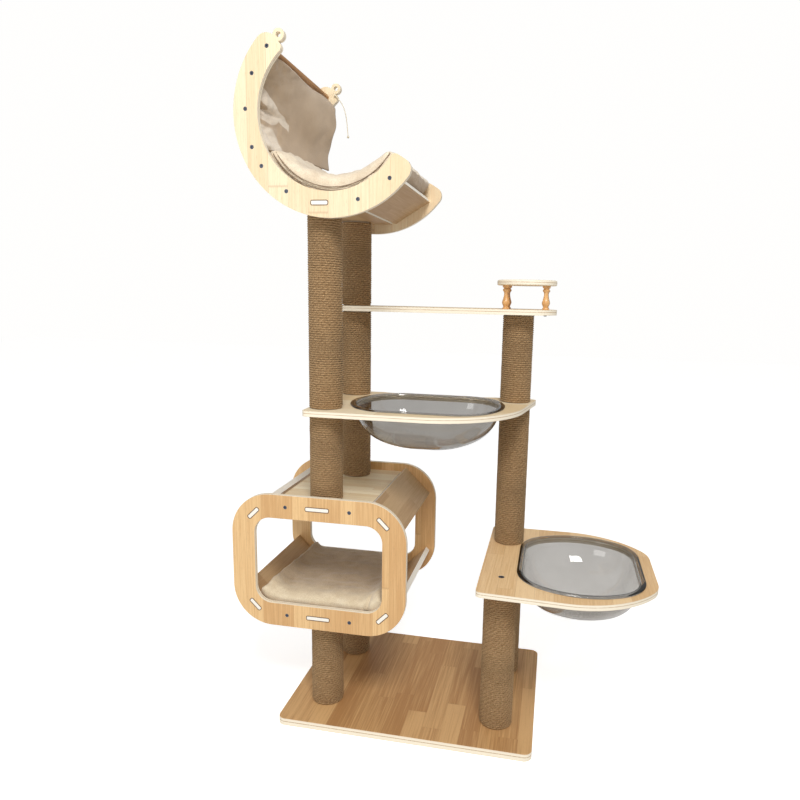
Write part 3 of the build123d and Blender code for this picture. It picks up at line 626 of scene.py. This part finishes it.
# %% Spindles
def smooth_line(points, steps):
    """Points of a curve that passes smoothly through the given ones (Catmull-Rom)."""
    points = [Vector(p) for p in points]
    padded = [2 * points[0] - points[1], *points, 2 * points[-1] - points[-2]]
    line = []
    for a, b, c, d in zip(padded, padded[1:], padded[2:], padded[3:]):
        for step in range(steps):
            t = step / steps
            line.append(0.5 * (2 * b + (c - a) * t + (2 * a - 5 * b + 4 * c - d) * t * t
                               + (3 * b - a - 3 * c + d) * t ** 3))
    return [*line, points[-1]]


def spun(mesh_builder, profile, centre, around=32):
    """Adds a lathe-turned shape: profile is (radius, height) from foot to head."""
    rings = []
    for radius, height in profile:
        rings.append([mesh_builder.verts.new((centre[0] + radius * cos(2 * pi * k / around),
                                              centre[1] + radius * sin(2 * pi * k / around),
                                              centre[2] + height)) for k in range(around)])
    for lower, upper in zip(rings, rings[1:]):
        for k in range(around):
            n = (k + 1) % around
            mesh_builder.faces.new((lower[k], lower[n], upper[n], upper[k]))
    mesh_builder.faces.new(list(reversed(rings[0])))
    mesh_builder.faces.new(rings[-1])


def mesh_piece(name, mesh_builder, material, smooth=True):
    """Finished object of a bmesh, with its material and smooth faces."""
    mesh = bpy.data.meshes.new(name)
    mesh_builder.to_mesh(mesh)
    mesh_builder.free()
    mesh.materials.append(material)
    for face in mesh.polygons:
        face.use_smooth = smooth
    return in_scene(name, mesh)


spindle_low, spindle_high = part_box("perch_spindles")
spindle_height = 0.067
turned_radii = [(0.0, 9.4), (0.05, 9.5), (0.10, 7.0), (0.16, 8.5), (0.28, 11.0), (0.45, 8.0), (0.62, 6.0),
                (0.72, 7.0), (0.77, 9.5), (0.83, 9.5), (0.87, 7.0), (0.93, 10.5), (1.0, 10.6)]
spindle_profile = [(p.x, p.y) for p in smooth_line(
    [(radius / 1000, share * spindle_height) for share, radius in turned_radii], 4)]
builder = bmesh.new()
foot_radius = 0.011
for x in (spindle_low.x + foot_radius, spindle_high.x - foot_radius):
    for y in (spindle_low.y + foot_radius, spindle_high.y - foot_radius):
        spun(builder, spindle_profile, (x, y, spindle_low.z))
spindles = mesh_piece("turned_spindles", builder, turned_wood)
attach(spindles, "tree")
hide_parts("perch_spindles")
print("spindle faces", len(spindles.data.polygons))

# %% [markdown]
# ## Clear bowls
# Both bowls are the same smoky acrylic moulding: a circle with two straight sides, a flat
# flange, and a wall that runs down in one soft curve to a flat bottom. Rings of points at
# each depth, joined into a closed shell 3 mm thick, give clear plastic the real wall that
# refraction needs. A ray from the centre finds the rim at any angle.

# %% Bowl material
acrylic, tree, shader = new_material("smoky_acrylic")
place = object_place(tree)
haze = ramp(tree, grain_noise(tree, place, 9.0, 2.0), 0.3, 0.7)
surface(tree, shader, mix(tree, haze, colour(0.66, 0.64, 0.61), colour(0.71, 0.69, 0.66)),
        ramp(tree, grain_noise(tree, place, 60.0, 3.0), 0.3, 0.8, 0.02, 0.07))
set_plain(shader, IOR=1.47, Transmission_Weight=1.0)

# %% Bowl shape
bowl_radius, bowl_half, bowl_corner, flange, wall = 0.218, 0.170, 0.120, 0.014, 0.003
bowl_depth, rest_gap = 0.123, 0.0003
bowl_around = 144


def rim_distance(angle, inset, size):
    """Distance from the centre to the section's outline, in the direction of angle."""
    radius, half = (bowl_radius - inset) * size, (bowl_half - inset) * size
    corner = (bowl_corner - inset) * size
    c, s = abs(cos(angle)), abs(sin(angle))
    centre_x = half - corner
    centre_y = sqrt((radius - corner) ** 2 - centre_x ** 2)
    if c > 1e-6 and half / c * s <= centre_y:
        return half / c
    if atan2(s, c) >= atan2(centre_y, centre_x):
        return radius
    towards = centre_x * c + centre_y * s
    return towards + sqrt(corner ** 2 - (centre_x ** 2 + centre_y ** 2 - towards ** 2))


depth_and_size = [(0.0, 1.0), (0.2, 0.985), (0.4, 0.94), (0.6, 0.85), (0.76, 0.725), (0.88, 0.56),
                  (0.96, 0.39), (1.0, 0.27)]
wall_line = smooth_line(depth_and_size, 5)


def clear_bowl(name, centre, level, turn):
    """Closed shell: outside from the flange down to the middle, then inside and back up."""
    outer = [(0.0, 1.0, 0.0004), (0.0006, 1.0, 0.0)]
    outer += [(0.9 * flange, 1.0, 0.0), (flange, 1.0, -0.0015)]
    outer += [(flange, p.y, -bowl_depth * p.x) for p in wall_line[2:]]
    outer += [(flange, size, -bowl_depth) for size in (0.2, 0.1)]
    body = flange + wall
    inner = [(body, size, -bowl_depth + wall) for size in (0.1, 0.2)]
    inner += [(body, p.y, -(bowl_depth - wall) * p.x) for p in reversed(wall_line[1:])]
    inner += [(body - 0.0002, 1.0, wall - 0.0012), (body - 0.0018, 1.0, wall)]
    inner += [(0.0006, 1.0, wall), (0.0, 1.0, wall - 0.0005)]
    builder = bmesh.new()
    rings = []
    for inset, size, z in outer + inner:
        ring = []
        for k in range(bowl_around):
            angle = 2 * pi * k / bowl_around
            reach = rim_distance(angle - turn, inset, size)
            ring.append(builder.verts.new((centre[0] + reach * cos(angle), centre[1] + reach * sin(angle),
                                           level + rest_gap + z)))
        rings.append(ring)
    pole_out = builder.verts.new((*centre, level + rest_gap - bowl_depth))
    pole_in = builder.verts.new((*centre, level + rest_gap - bowl_depth + wall))
    split = len(outer)
    for first, second in [*zip(rings[:split], rings[1:split]), *zip(rings[split:], rings[split + 1:]),
                          (rings[-1], rings[0])]:
        for k in range(bowl_around):
            n = (k + 1) % bowl_around
            builder.faces.new((first[k], second[k], second[n], first[n]))
    for k in range(bowl_around):
        n = (k + 1) % bowl_around
        builder.faces.new((rings[split - 1][k], pole_out, rings[split - 1][n]))
        builder.faces.new((rings[split][k], rings[split][n], pole_in))
    bmesh.ops.recalc_face_normals(builder, faces=builder.faces)
    return mesh_piece(name, builder, acrylic)


for body, turn in (("right_bowl", 0.0), ("middle_bowl", pi / 2)):
    low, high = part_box(body)
    middle = (low + high) / 2
    clear = clear_bowl("clear_" + body, (middle.x, middle.y), high.z - wall - rest_gap, turn)
    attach(clear, body)
    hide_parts(body)
print("bowl faces", len(clear.data.polygons))

# %% [markdown]
# ## Fabric finishes
# The cloths are a short cream plush whose pile lies in soft patches, a taupe suede cloth
# with a fine weave, and cotton cord. One group makes the pile and the weave from the
# object's coordinates, and each material turns it to its own scale and colours.

# %% Cloth group
cloth_group, given, result = new_group(
    "cloth_surface", {"Place": VECTOR, "Thread": FLOAT, "Patch": FLOAT, "Light": COLOUR, "Dark": COLOUR},
    {"Color": COLOUR, "Height": FLOAT, "Roughness": FLOAT})
tree = cloth_group
source = given.outputs
threads = grain_noise(tree, source["Place"], source["Thread"], 3.0, 0.6)
patches = grain_noise(tree, source["Place"], source["Patch"], 3.0, 0.55)
share = ramp(tree, weighted(tree, threads, 0.55, patches, 0.45), 0.32, 0.68)
tree.links.new(mix(tree, share, source["Dark"], source["Light"]), result.inputs["Color"])
tree.links.new(plus(tree, threads, times(tree, patches, 1.4)), result.inputs["Height"])
tree.links.new(ramp(tree, threads, 0.2, 0.8, 0.96, 0.84), result.inputs["Roughness"])


def cloth_material(name, thread, patch, light, dark, depth, sheen):
    """Cloth with threads and patches at these scales; depth is the height of its pile."""
    made, tree, shader = new_material(name)
    cloth = add_node(tree, "ShaderNodeGroup", node_tree=cloth_group)
    tree.links.new(object_place(tree), cloth.inputs["Place"])
    for key, value in {"Thread": thread, "Patch": patch, "Light": light, "Dark": dark}.items():
        cloth.inputs[key].default_value = value
    surface(tree, shader, cloth.outputs["Color"], cloth.outputs["Roughness"])
    bumped(tree, shader, cloth.outputs["Height"], 0.6, depth)
    set_plain(shader, Sheen_Weight=sheen, Sheen_Roughness=0.5, Specular_IOR_Level=0.12)
    return made


def two_tone(material, share, first, second):
    """Colours that go from the first light and dark pair to the second one by a share."""
    tree = material.node_tree
    group = next(n for n in tree.nodes if n.type == "GROUP")
    for key, one, other in zip(("Light", "Dark"), first, second):
        tree.links.new(mix(tree, share, one, other), group.inputs[key])


taupe = (colour(0.56, 0.43, 0.30), colour(0.42, 0.31, 0.205))
cream = (colour(0.88, 0.77, 0.59), colour(0.66, 0.53, 0.38))
plush = cloth_material("cream_plush", 420.0, 26.0, *cream, 0.0022, 0.5)
suede = cloth_material("taupe_suede", 800.0, 11.0, *taupe, 0.0008, 0.3)
piping_cloth = cloth_material("piping_cloth", 900.0, 30.0, colour(0.34, 0.25, 0.17),
                              colour(0.22, 0.15, 0.10), 0.0004, 0.2)
cotton = cloth_material("cotton_cord", 1600.0, 60.0, colour(0.86, 0.80, 0.64),
                        colour(0.66, 0.58, 0.42), 0.0004, 0.2)
string.data.materials.append(cotton)
dress("string_knots", cotton)

# the drape is the same suede cloth, and its pale lining shows where it is turned out
drape_cloth = cloth_material("drape_cloth", 800.0, 11.0, *taupe, 0.0009, 0.3)
tree = drape_cloth.node_tree
lining_share = add_node(tree, "ShaderNodeAttribute", attribute_name="lining").outputs["Fac"]
turned_out = ramp(tree, lining_share, 0.35, 0.65)
two_tone(drape_cloth, turned_out, taupe, (colour(0.88, 0.80, 0.68), colour(0.66, 0.55, 0.43)))

# the cabin mat is cream at its front edge and darker further into the cabin: that darker tone is painted
# shade of the cabin's inside
front_cream = (colour(0.86, 0.75, 0.56), colour(0.66, 0.53, 0.35))
nap = cloth_material("cabin_nap_painted_shade", 420.0, 20.0, *front_cream, 0.0020, 0.4)
tree = nap.node_tree
place = object_place(tree)
back = add_node(tree, "ShaderNodeSeparateXYZ", {0: place}).outputs["Y"]
uneven_back = plus(tree, back, times(tree, grain_noise(tree, place, 30.0, 2.0), 0.05))
# painted shade: the mat goes darker the deeper it lies in the cabin
painted_cabin_shade = ramp(tree, uneven_back, -0.165, -0.07)
two_tone(nap, painted_cabin_shade, front_cream, (colour(0.52, 0.405, 0.275), colour(0.36, 0.265, 0.17)))
print("cloths", [m.name for m in (plush, suede, piping_cloth, cotton, nap)])

# %% [markdown]
# ## Pads
# A pad starts as a closed form between two lines: the side it rests on and the side a cat
# lies on, both drawn in the plane of the panels. It is thin at its sewn borders and full
# between them. The form is then remeshed, puffed by the cloth solver with gravity off, and
# every point's move is capped, so it swells and wrinkles without leaving its place.


# %% Pad shape
def pad_form(name, rest_line, top_line, front, rear, material, across=44, power=12.0):
    """Closed pad: row i runs from rest_line[i] to top_line[i], from front to rear. The points
    crowd towards the borders, where the sides turn, so the sides stand up straight."""
    builder = bmesh.new()
    rows = len(rest_line)
    sheets = []
    for side in (0.0, 1.0):
        sheet = []
        for i, (rest, top) in enumerate(zip(rest_line, top_line)):
            middle = (Vector(rest) + Vector(top)) / 2
            half = (Vector(top) - Vector(rest)) / 2
            fade_along = (1 - abs(2 * i / (rows - 1) - 1) ** (2 * power)) ** (1 / 3)
            line = []
            for k in range(across + 1):
                t = 0.5 - 0.5 * cos(pi * k / across)
                fade = fade_along * (1 - abs(2 * t - 1) ** power) ** (1 / 3)
                spot = middle + half * ((2 * side - 1) * fade)
                line.append(builder.verts.new((spot.x, front + (rear - front) * t, spot.y)))
            sheet.append(line)
        sheets.append(sheet)
    for sheet in sheets:
        for a, b in zip(sheet, sheet[1:]):
            for k in range(across):
                builder.faces.new((a[k], a[k + 1], b[k + 1], b[k]))
    bmesh.ops.remove_doubles(builder, verts=builder.verts, dist=0.00005)
    bmesh.ops.recalc_face_normals(builder, faces=builder.faces)
    return mesh_piece(name, builder, material)


def puffed(pad, voxel, cap, pressure=4.0):
    """Remesh, swell with the cloth solver, and keep every point within cap of its start."""
    remesh = pad.modifiers.new("even_mesh", "REMESH")
    remesh.mode = "VOXEL"
    remesh.voxel_size = voxel
    bpy.context.view_layer.objects.active = pad
    bpy.ops.object.select_all(action="DESELECT")
    pad.select_set(True)
    bpy.ops.object.modifier_apply(modifier=remesh.name)
    start = [v.co.copy() for v in pad.data.vertices]
    cloth = pad.modifiers.new("swell", "CLOTH")
    cloth.settings.quality = 5
    cloth.settings.use_pressure = True
    cloth.settings.uniform_pressure_force = pressure
    cloth.settings.effector_weights.gravity = 0
    cloth.point_cache.frame_end = 20
    for step in range(1, 21):
        bpy.context.scene.frame_set(step)
    evaluated = pad.evaluated_get(bpy.context.evaluated_depsgraph_get())
    swollen = [v.co.copy() for v in evaluated.data.vertices]
    pad.modifiers.remove(cloth)
    bpy.context.scene.frame_set(1)
    for vertex, old, new in zip(pad.data.vertices, start, swollen):
        move = new - old
        vertex.co = old + move * min(1.0, cap / max(move.length, 1e-9))
    for face in pad.data.polygons:
        face.use_smooth = True
    return pad


def rumpled(pad, height, scale, seed, stretch=(1, 1, 1)):
    """Moves points along their normals by smooth noise, for lying creases and dents."""
    pad.data.update()
    normals = [v.normal.copy() for v in pad.data.vertices]
    shift = Vector((seed, seed * 2, seed * 3))
    for vertex, normal in zip(pad.data.vertices, normals):
        spot = Vector(a * b for a, b in zip(vertex.co, stretch)) * scale + shift
        vertex.co += normal * height * (noise.noise(spot) + 0.5 * noise.noise(spot * 2.1))
    return pad


# %% [markdown]
# ## Cabin mat
# The mat is wider than the cabin's floor, so it lies flat in the middle and turns up at
# both sides against the sloping corner boards.

# %% Cabin mat
mat_low, mat_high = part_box("cabin_mat")
floor_z = mat_low.z - cabin_centre.z
under_half = [(0.0, floor_z), (0.060, floor_z), (0.110, floor_z), (0.140, floor_z + 0.001),
              (0.158, floor_z + 0.006), (0.176, floor_z + 0.022), (0.192, floor_z + 0.038)]
over_half = [(0.0, floor_z + 0.041), (0.060, floor_z + 0.041), (0.100, floor_z + 0.041),
             (0.118, floor_z + 0.042), (0.136, floor_z + 0.050), (0.150, floor_z + 0.061),
             (0.163, floor_z + 0.073)]


def both_sides(half, steps=5):
    """Smooth line from the left tip to the right one, mirrored about the cabin's middle."""
    whole = [(-x, z) for x, z in reversed(half[1:])] + half
    return [(p.x + cabin_centre.x, p.y + cabin_centre.z) for p in smooth_line(whole, steps)]


cabin_pad = pad_form("plush_cabin_mat", both_sides(under_half), both_sides(over_half),
                     mat_low.y + 0.002, mat_high.y - 0.002, nap)
# towards the rear the turned-up sides slide down the slopes
foot_of_slope, slide = 0.150, 0.70
for vertex in cabin_pad.data.vertices:
    back_share = (vertex.co.y - mat_low.y) / (mat_high.y - mat_low.y)
    side = vertex.co.x - cabin_centre.x
    slid = max(0.0, abs(side) - foot_of_slope) * slide * back_share
    vertex.co.x -= slid if side > 0 else -slid
    vertex.co.z -= slid
pad_voxel, pad_cap = 0.005, 0.004
puffed(cabin_pad, pad_voxel, pad_cap)
rumpled(cabin_pad, 0.0030, 22.0, 3.1)
rumpled(cabin_pad, 0.0014, 60.0, 5.3, (0.3, 1, 1))

# a deep crease where the front edge folds over at the right
natural_base = 2.718
crease_x, crease_width, crease_run = cabin_centre.x + 0.128, 0.006, 0.045
crease_in, crease_down, crease_foot = 0.014, 0.012, 0.020
for vertex in cabin_pad.data.vertices:
    from_front = vertex.co.y - mat_low.y
    off = (vertex.co.x - crease_x - 0.25 * from_front) / crease_width
    fade = max(0.0, 1 - from_front / crease_run) * natural_base ** (-off * off)
    vertex.co.y += crease_in * fade
    if vertex.co.z > mat_low.z + crease_foot:
        vertex.co.z -= crease_down * fade
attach(cabin_pad, "tree")
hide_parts("cabin_mat")
print("cabin mat faces", len(cabin_pad.data.polygons))

# %% [markdown]
# ## Bed mat
# The bed's mat lines the crescent from the foot of the drape to the right tip. It is thick
# at the bottom and thin at the tip, so its two lines are two arcs with different centres.

# %% Bed mat
bed_centre = Vector((-0.2033, 1.615))
mat_back, hollow, hollow_radius = 0.2035, Vector((0.004, 0.038)), 0.177
start_angle, stop_angle = radians(207), radians(330)
rest_line, top_line = [], []
rows = 70
for i in range(rows + 1):
    angle = start_angle + (stop_angle - start_angle) * i / rows
    direction = Vector((cos(angle), sin(angle)))
    offset = direction.dot(hollow)
    reach = offset + sqrt(offset ** 2 + hollow_radius ** 2 - hollow.length_squared)
    rest_line.append(bed_centre + direction * mat_back)
    top_line.append(bed_centre + direction * (reach + 0.004 * cos(pi * i / rows)))
bed_low, bed_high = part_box("bed_mat")
bed_pad = pad_form("plush_bed_mat", rest_line, top_line, bed_low.y + 0.001, bed_high.y - 0.001, plush)
puffed(bed_pad, pad_voxel, pad_cap)
rumpled(bed_pad, 0.0034, 20.0, 7.7)
rumpled(bed_pad, 0.0020, 55.0, 2.9)
bed_pad.data.materials.append(suede)
backed, facing_back = 0, 0.55
for face in bed_pad.data.polygons:
    outward = Vector((face.center.x, face.center.z)) - bed_centre
    if Vector((face.normal.x, face.normal.z)).dot(outward.normalized()) > facing_back:
        face.material_index = 1
        backed += 1
print("faces of the mat's cloth back", backed)
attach(bed_pad, "tree")
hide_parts("bed_mat")
print("bed mat faces", len(bed_pad.data.polygons))

# %% [markdown]
# ## Drape
# The back of the bed is a cloth that is tied under the top rail and hangs to the mat. At the
# front it lies along the back boards, crumpled, with its pale lining turned out in places;
# towards the rear it bows into the hollow. So it is a grid of points between two hanging
# lines, with folds added by noise and two long creases, given a thin body.

# %% Drape
drape_low, drape_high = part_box("bed_drape")
front_line = smooth_line([(-0.3530, 1.7530), (-0.3800, 1.7080), (-0.4004, 1.6427), (-0.4004, 1.5873),
                          (-0.3865, 1.5372)], 14)
rear_line = smooth_line([(-0.3533, 1.7540), (-0.3333, 1.7270), (-0.3313, 1.6730), (-0.3513, 1.6100),
                         (-0.3543, 1.5530)], 14)
drape_across, drape_thickness, drape_gap = 130, 0.004, 0.002


def bulge(value, middle, width):
    """Bell curve: 1 at the middle, fading over the width."""
    return natural_base ** (-((value - middle) / width) ** 2)


builder = bmesh.new()
drape_rows, lining = [], []
for i, (near, far) in enumerate(zip(front_line, rear_line)):
    down = i / (len(front_line) - 1)
    row = []
    for k in range(drape_across + 1):
        t = k / drape_across
        spot = near.lerp(far, t)
        y = drape_low.y + drape_gap + (drape_high.y - drape_low.y - 2 * drape_gap) * t
        crumple = max(0.0, 1 - t / 0.42) ** 1.3
        lift = 0.0030 * noise.noise(Vector((t * 4.0, down * 2.0, 1.7)))
        lift += 0.0085 * crumple * noise.noise(Vector((t * 8.0, down * 9.0, 4.2)))
        lift += 0.0045 * crumple * noise.noise(Vector((t * 19.0, down * 17.0, 6.1)))
        lift += 0.0012 * noise.noise(Vector((t * 9.0 + down * 6.0, down * 5.0, 9.9)))
        fold = down - 0.50 - 0.20 * t
        lift += crumple * (0.010 * bulge(fold, -0.045, 0.05) - 0.009 * bulge(fold, 0.030, 0.022))
        hem = 0.004 * bulge(t, 1.0, 0.05) * sin(down * 24.0)
        sag = 0.007 * bulge(t, 0.62, 0.20) * (1 - down) ** 3
        row.append(builder.verts.new((spot.x + lift, y - hem, spot.y - 0.3 * lift - sag)))
        ragged = 0.045 * noise.noise(Vector((t * 9.0, down * 9.0, 3.3)))
        streak = 1 - (abs(down - 0.40 - 0.70 * t) + ragged) / 0.055 if t < 0.38 else 0.0
        patch = 1 - hypot((t - 0.13) / 0.12, (down - 0.60) / 0.070) + 6 * ragged
        foot = 1 - hypot(t / 0.26, (down - 0.93) / 0.22) + 6 * ragged
        shown = min(1.0, max(0.0, 0.5 + 1.6 * max(streak, patch, foot)))
        lining.append(shown * (0.4 + 0.6 * bulge(t, 0.1, 0.25)))
    drape_rows.append(row)
for a, b in zip(drape_rows, drape_rows[1:]):
    for k in range(drape_across):
        builder.faces.new((a[k], b[k], b[k + 1], a[k + 1]))
drape = mesh_piece("hung_drape", builder, drape_cloth)
lining_data = drape.data.attributes.new("lining", "FLOAT", "POINT").data
for item, share in zip(lining_data, lining):
    item.value = share
thicken = drape.modifiers.new("body", "SOLIDIFY")
thicken.thickness = drape_thickness
thicken.offset = 0
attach(drape, "tree")
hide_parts("bed_drape")
print("drape faces", len(drape.data.polygons))

# %% [markdown]
# ## Piping
# Two thin cords are sewn along the bed mat's front edge, and two along its rear edge. A
# piping is a round profile swept along a line, so one small Geometry Nodes tree makes all.

# %% Piping tree
piping_tree, piping_in = growing_tree("piping", {"Geometry": GEOMETRY, "Radius": FLOAT})
lines_in = add_node(piping_tree, "GeometryNodeMeshToCurve", {0: piping_in["Geometry"]})
piping_round = add_node(piping_tree, "GeometryNodeCurvePrimitiveCircle", {"Resolution": 8,
                                                                          "Radius": piping_in["Radius"]})
piping_swept = add_node(piping_tree, "GeometryNodeCurveToMesh", {
    "Curve": lines_in.outputs[0], "Profile Curve": piping_round.outputs[0], "Fill Caps": True})
piping_smooth = add_node(piping_tree, "GeometryNodeSetShadeSmooth", {0: piping_swept.outputs[0]})
end_tree(piping_tree, piping_smooth, piping_in["Finish"])


def piping(name, points, radius):
    """A cord sewn along a row of points."""
    seed = bpy.data.meshes.new(name)
    seed.from_pydata(points, [(i, i + 1) for i in range(len(points) - 1)], [])
    made = grown(name, piping_tree, {"Radius": radius, "Finish": piping_cloth}, seed)
    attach(made, "tree")
    return made


# %% Sew the piping
piping_radius, low_line, high_line = 0.0013, 0.023, 0.031
edges = {"front_piping_low": (bed_low.y + 0.001, low_line),
         "front_piping_high": (bed_low.y + 0.002, high_line),
         "rear_piping_low": (bed_high.y - 0.001, low_line),
         "rear_piping_high": (bed_high.y - 0.002, high_line)}
for name, (y, in_by) in edges.items():
    points = []
    for i in range(2, rows - 1):
        inward = (bed_centre - rest_line[i]).normalized()
        spot = rest_line[i] + inward * min(in_by, 0.9 * (top_line[i] - rest_line[i]).length)
        points.append((spot.x, y, spot.y))
    piping(name, points, piping_radius)
print("piping pieces", len(edges))

# %% [markdown]
# ## Floor and light
# A plain pale floor and a white surround, as in a studio. The surround is white where it is
# seen and less bright where it lights the tree, so the posts keep their dark sides. The main
# light hangs in front and above, as in a room, and a weak one fills from the front left.

# %% Floor and light
floor_mesh = bpy.data.meshes.new("floor")
half_floor = 12.0
floor_corners = [(a * half_floor, b * half_floor, 0) for a, b in ((-1, -1), (1, -1), (1, 1), (-1, 1))]
floor_mesh.from_pydata(floor_corners, [], [(0, 1, 2, 3)])
floor_material, tree, shader = new_material("pale_floor")
set_plain(shader, Base_Color=colour(0.90, 0.90, 0.90), Roughness=0.9,
          Emission_Color=colour(1.0, 1.0, 1.0))
floor_seen = add_node(tree, "ShaderNodeLightPath").outputs["Is Camera Ray"]
tree.links.new(ramp(tree, floor_seen, 0.0, 1.0, 0.12, 0.62), shader.inputs["Emission Strength"])
floor_mesh.materials.append(floor_material)
floor = in_scene("floor", floor_mesh)
floor.location.z = -0.0005

world = bpy.data.worlds.new("white_surround")
bpy.context.scene.world = world
world.use_nodes = True
surround = world.node_tree
seen = surround.nodes["Background"]
set_plain(seen, Color=colour(1.0, 0.995, 0.985), Strength=1.0)
ambient = add_node(surround, "ShaderNodeBackground", {"Color": colour(1.0, 0.985, 0.965), "Strength": 0.42})
is_seen = add_node(surround, "ShaderNodeLightPath").outputs["Is Camera Ray"]
both = add_node(surround, "ShaderNodeMixShader", {0: is_seen, 1: ambient.outputs[0], 2: seen.outputs[0]})
surround.links.new(both.outputs[0], surround.nodes["World Output"].inputs["Surface"])
bpy.context.scene.view_settings.view_transform = "Standard"


def soft_light(name, place, aim, size, power):
    """A square area light at a place, turned towards a point."""
    data = bpy.data.lights.new(name, "AREA")
    data.size = size
    data.energy = power
    made = bpy.data.objects.new(name, data)
    made.location = place
    made.rotation_euler = (Vector(aim) - Vector(place)).to_track_quat("-Z", "Y").to_euler()
    bpy.context.scene.collection.objects.link(made)


soft_light("key", (0.7, -2.4, 3.4), (0, 0, 0.8), 1.1, 84)
soft_light("fill", (-1.6, -2.8, 1.4), (0, 0, 1.0), 1.2, 14)
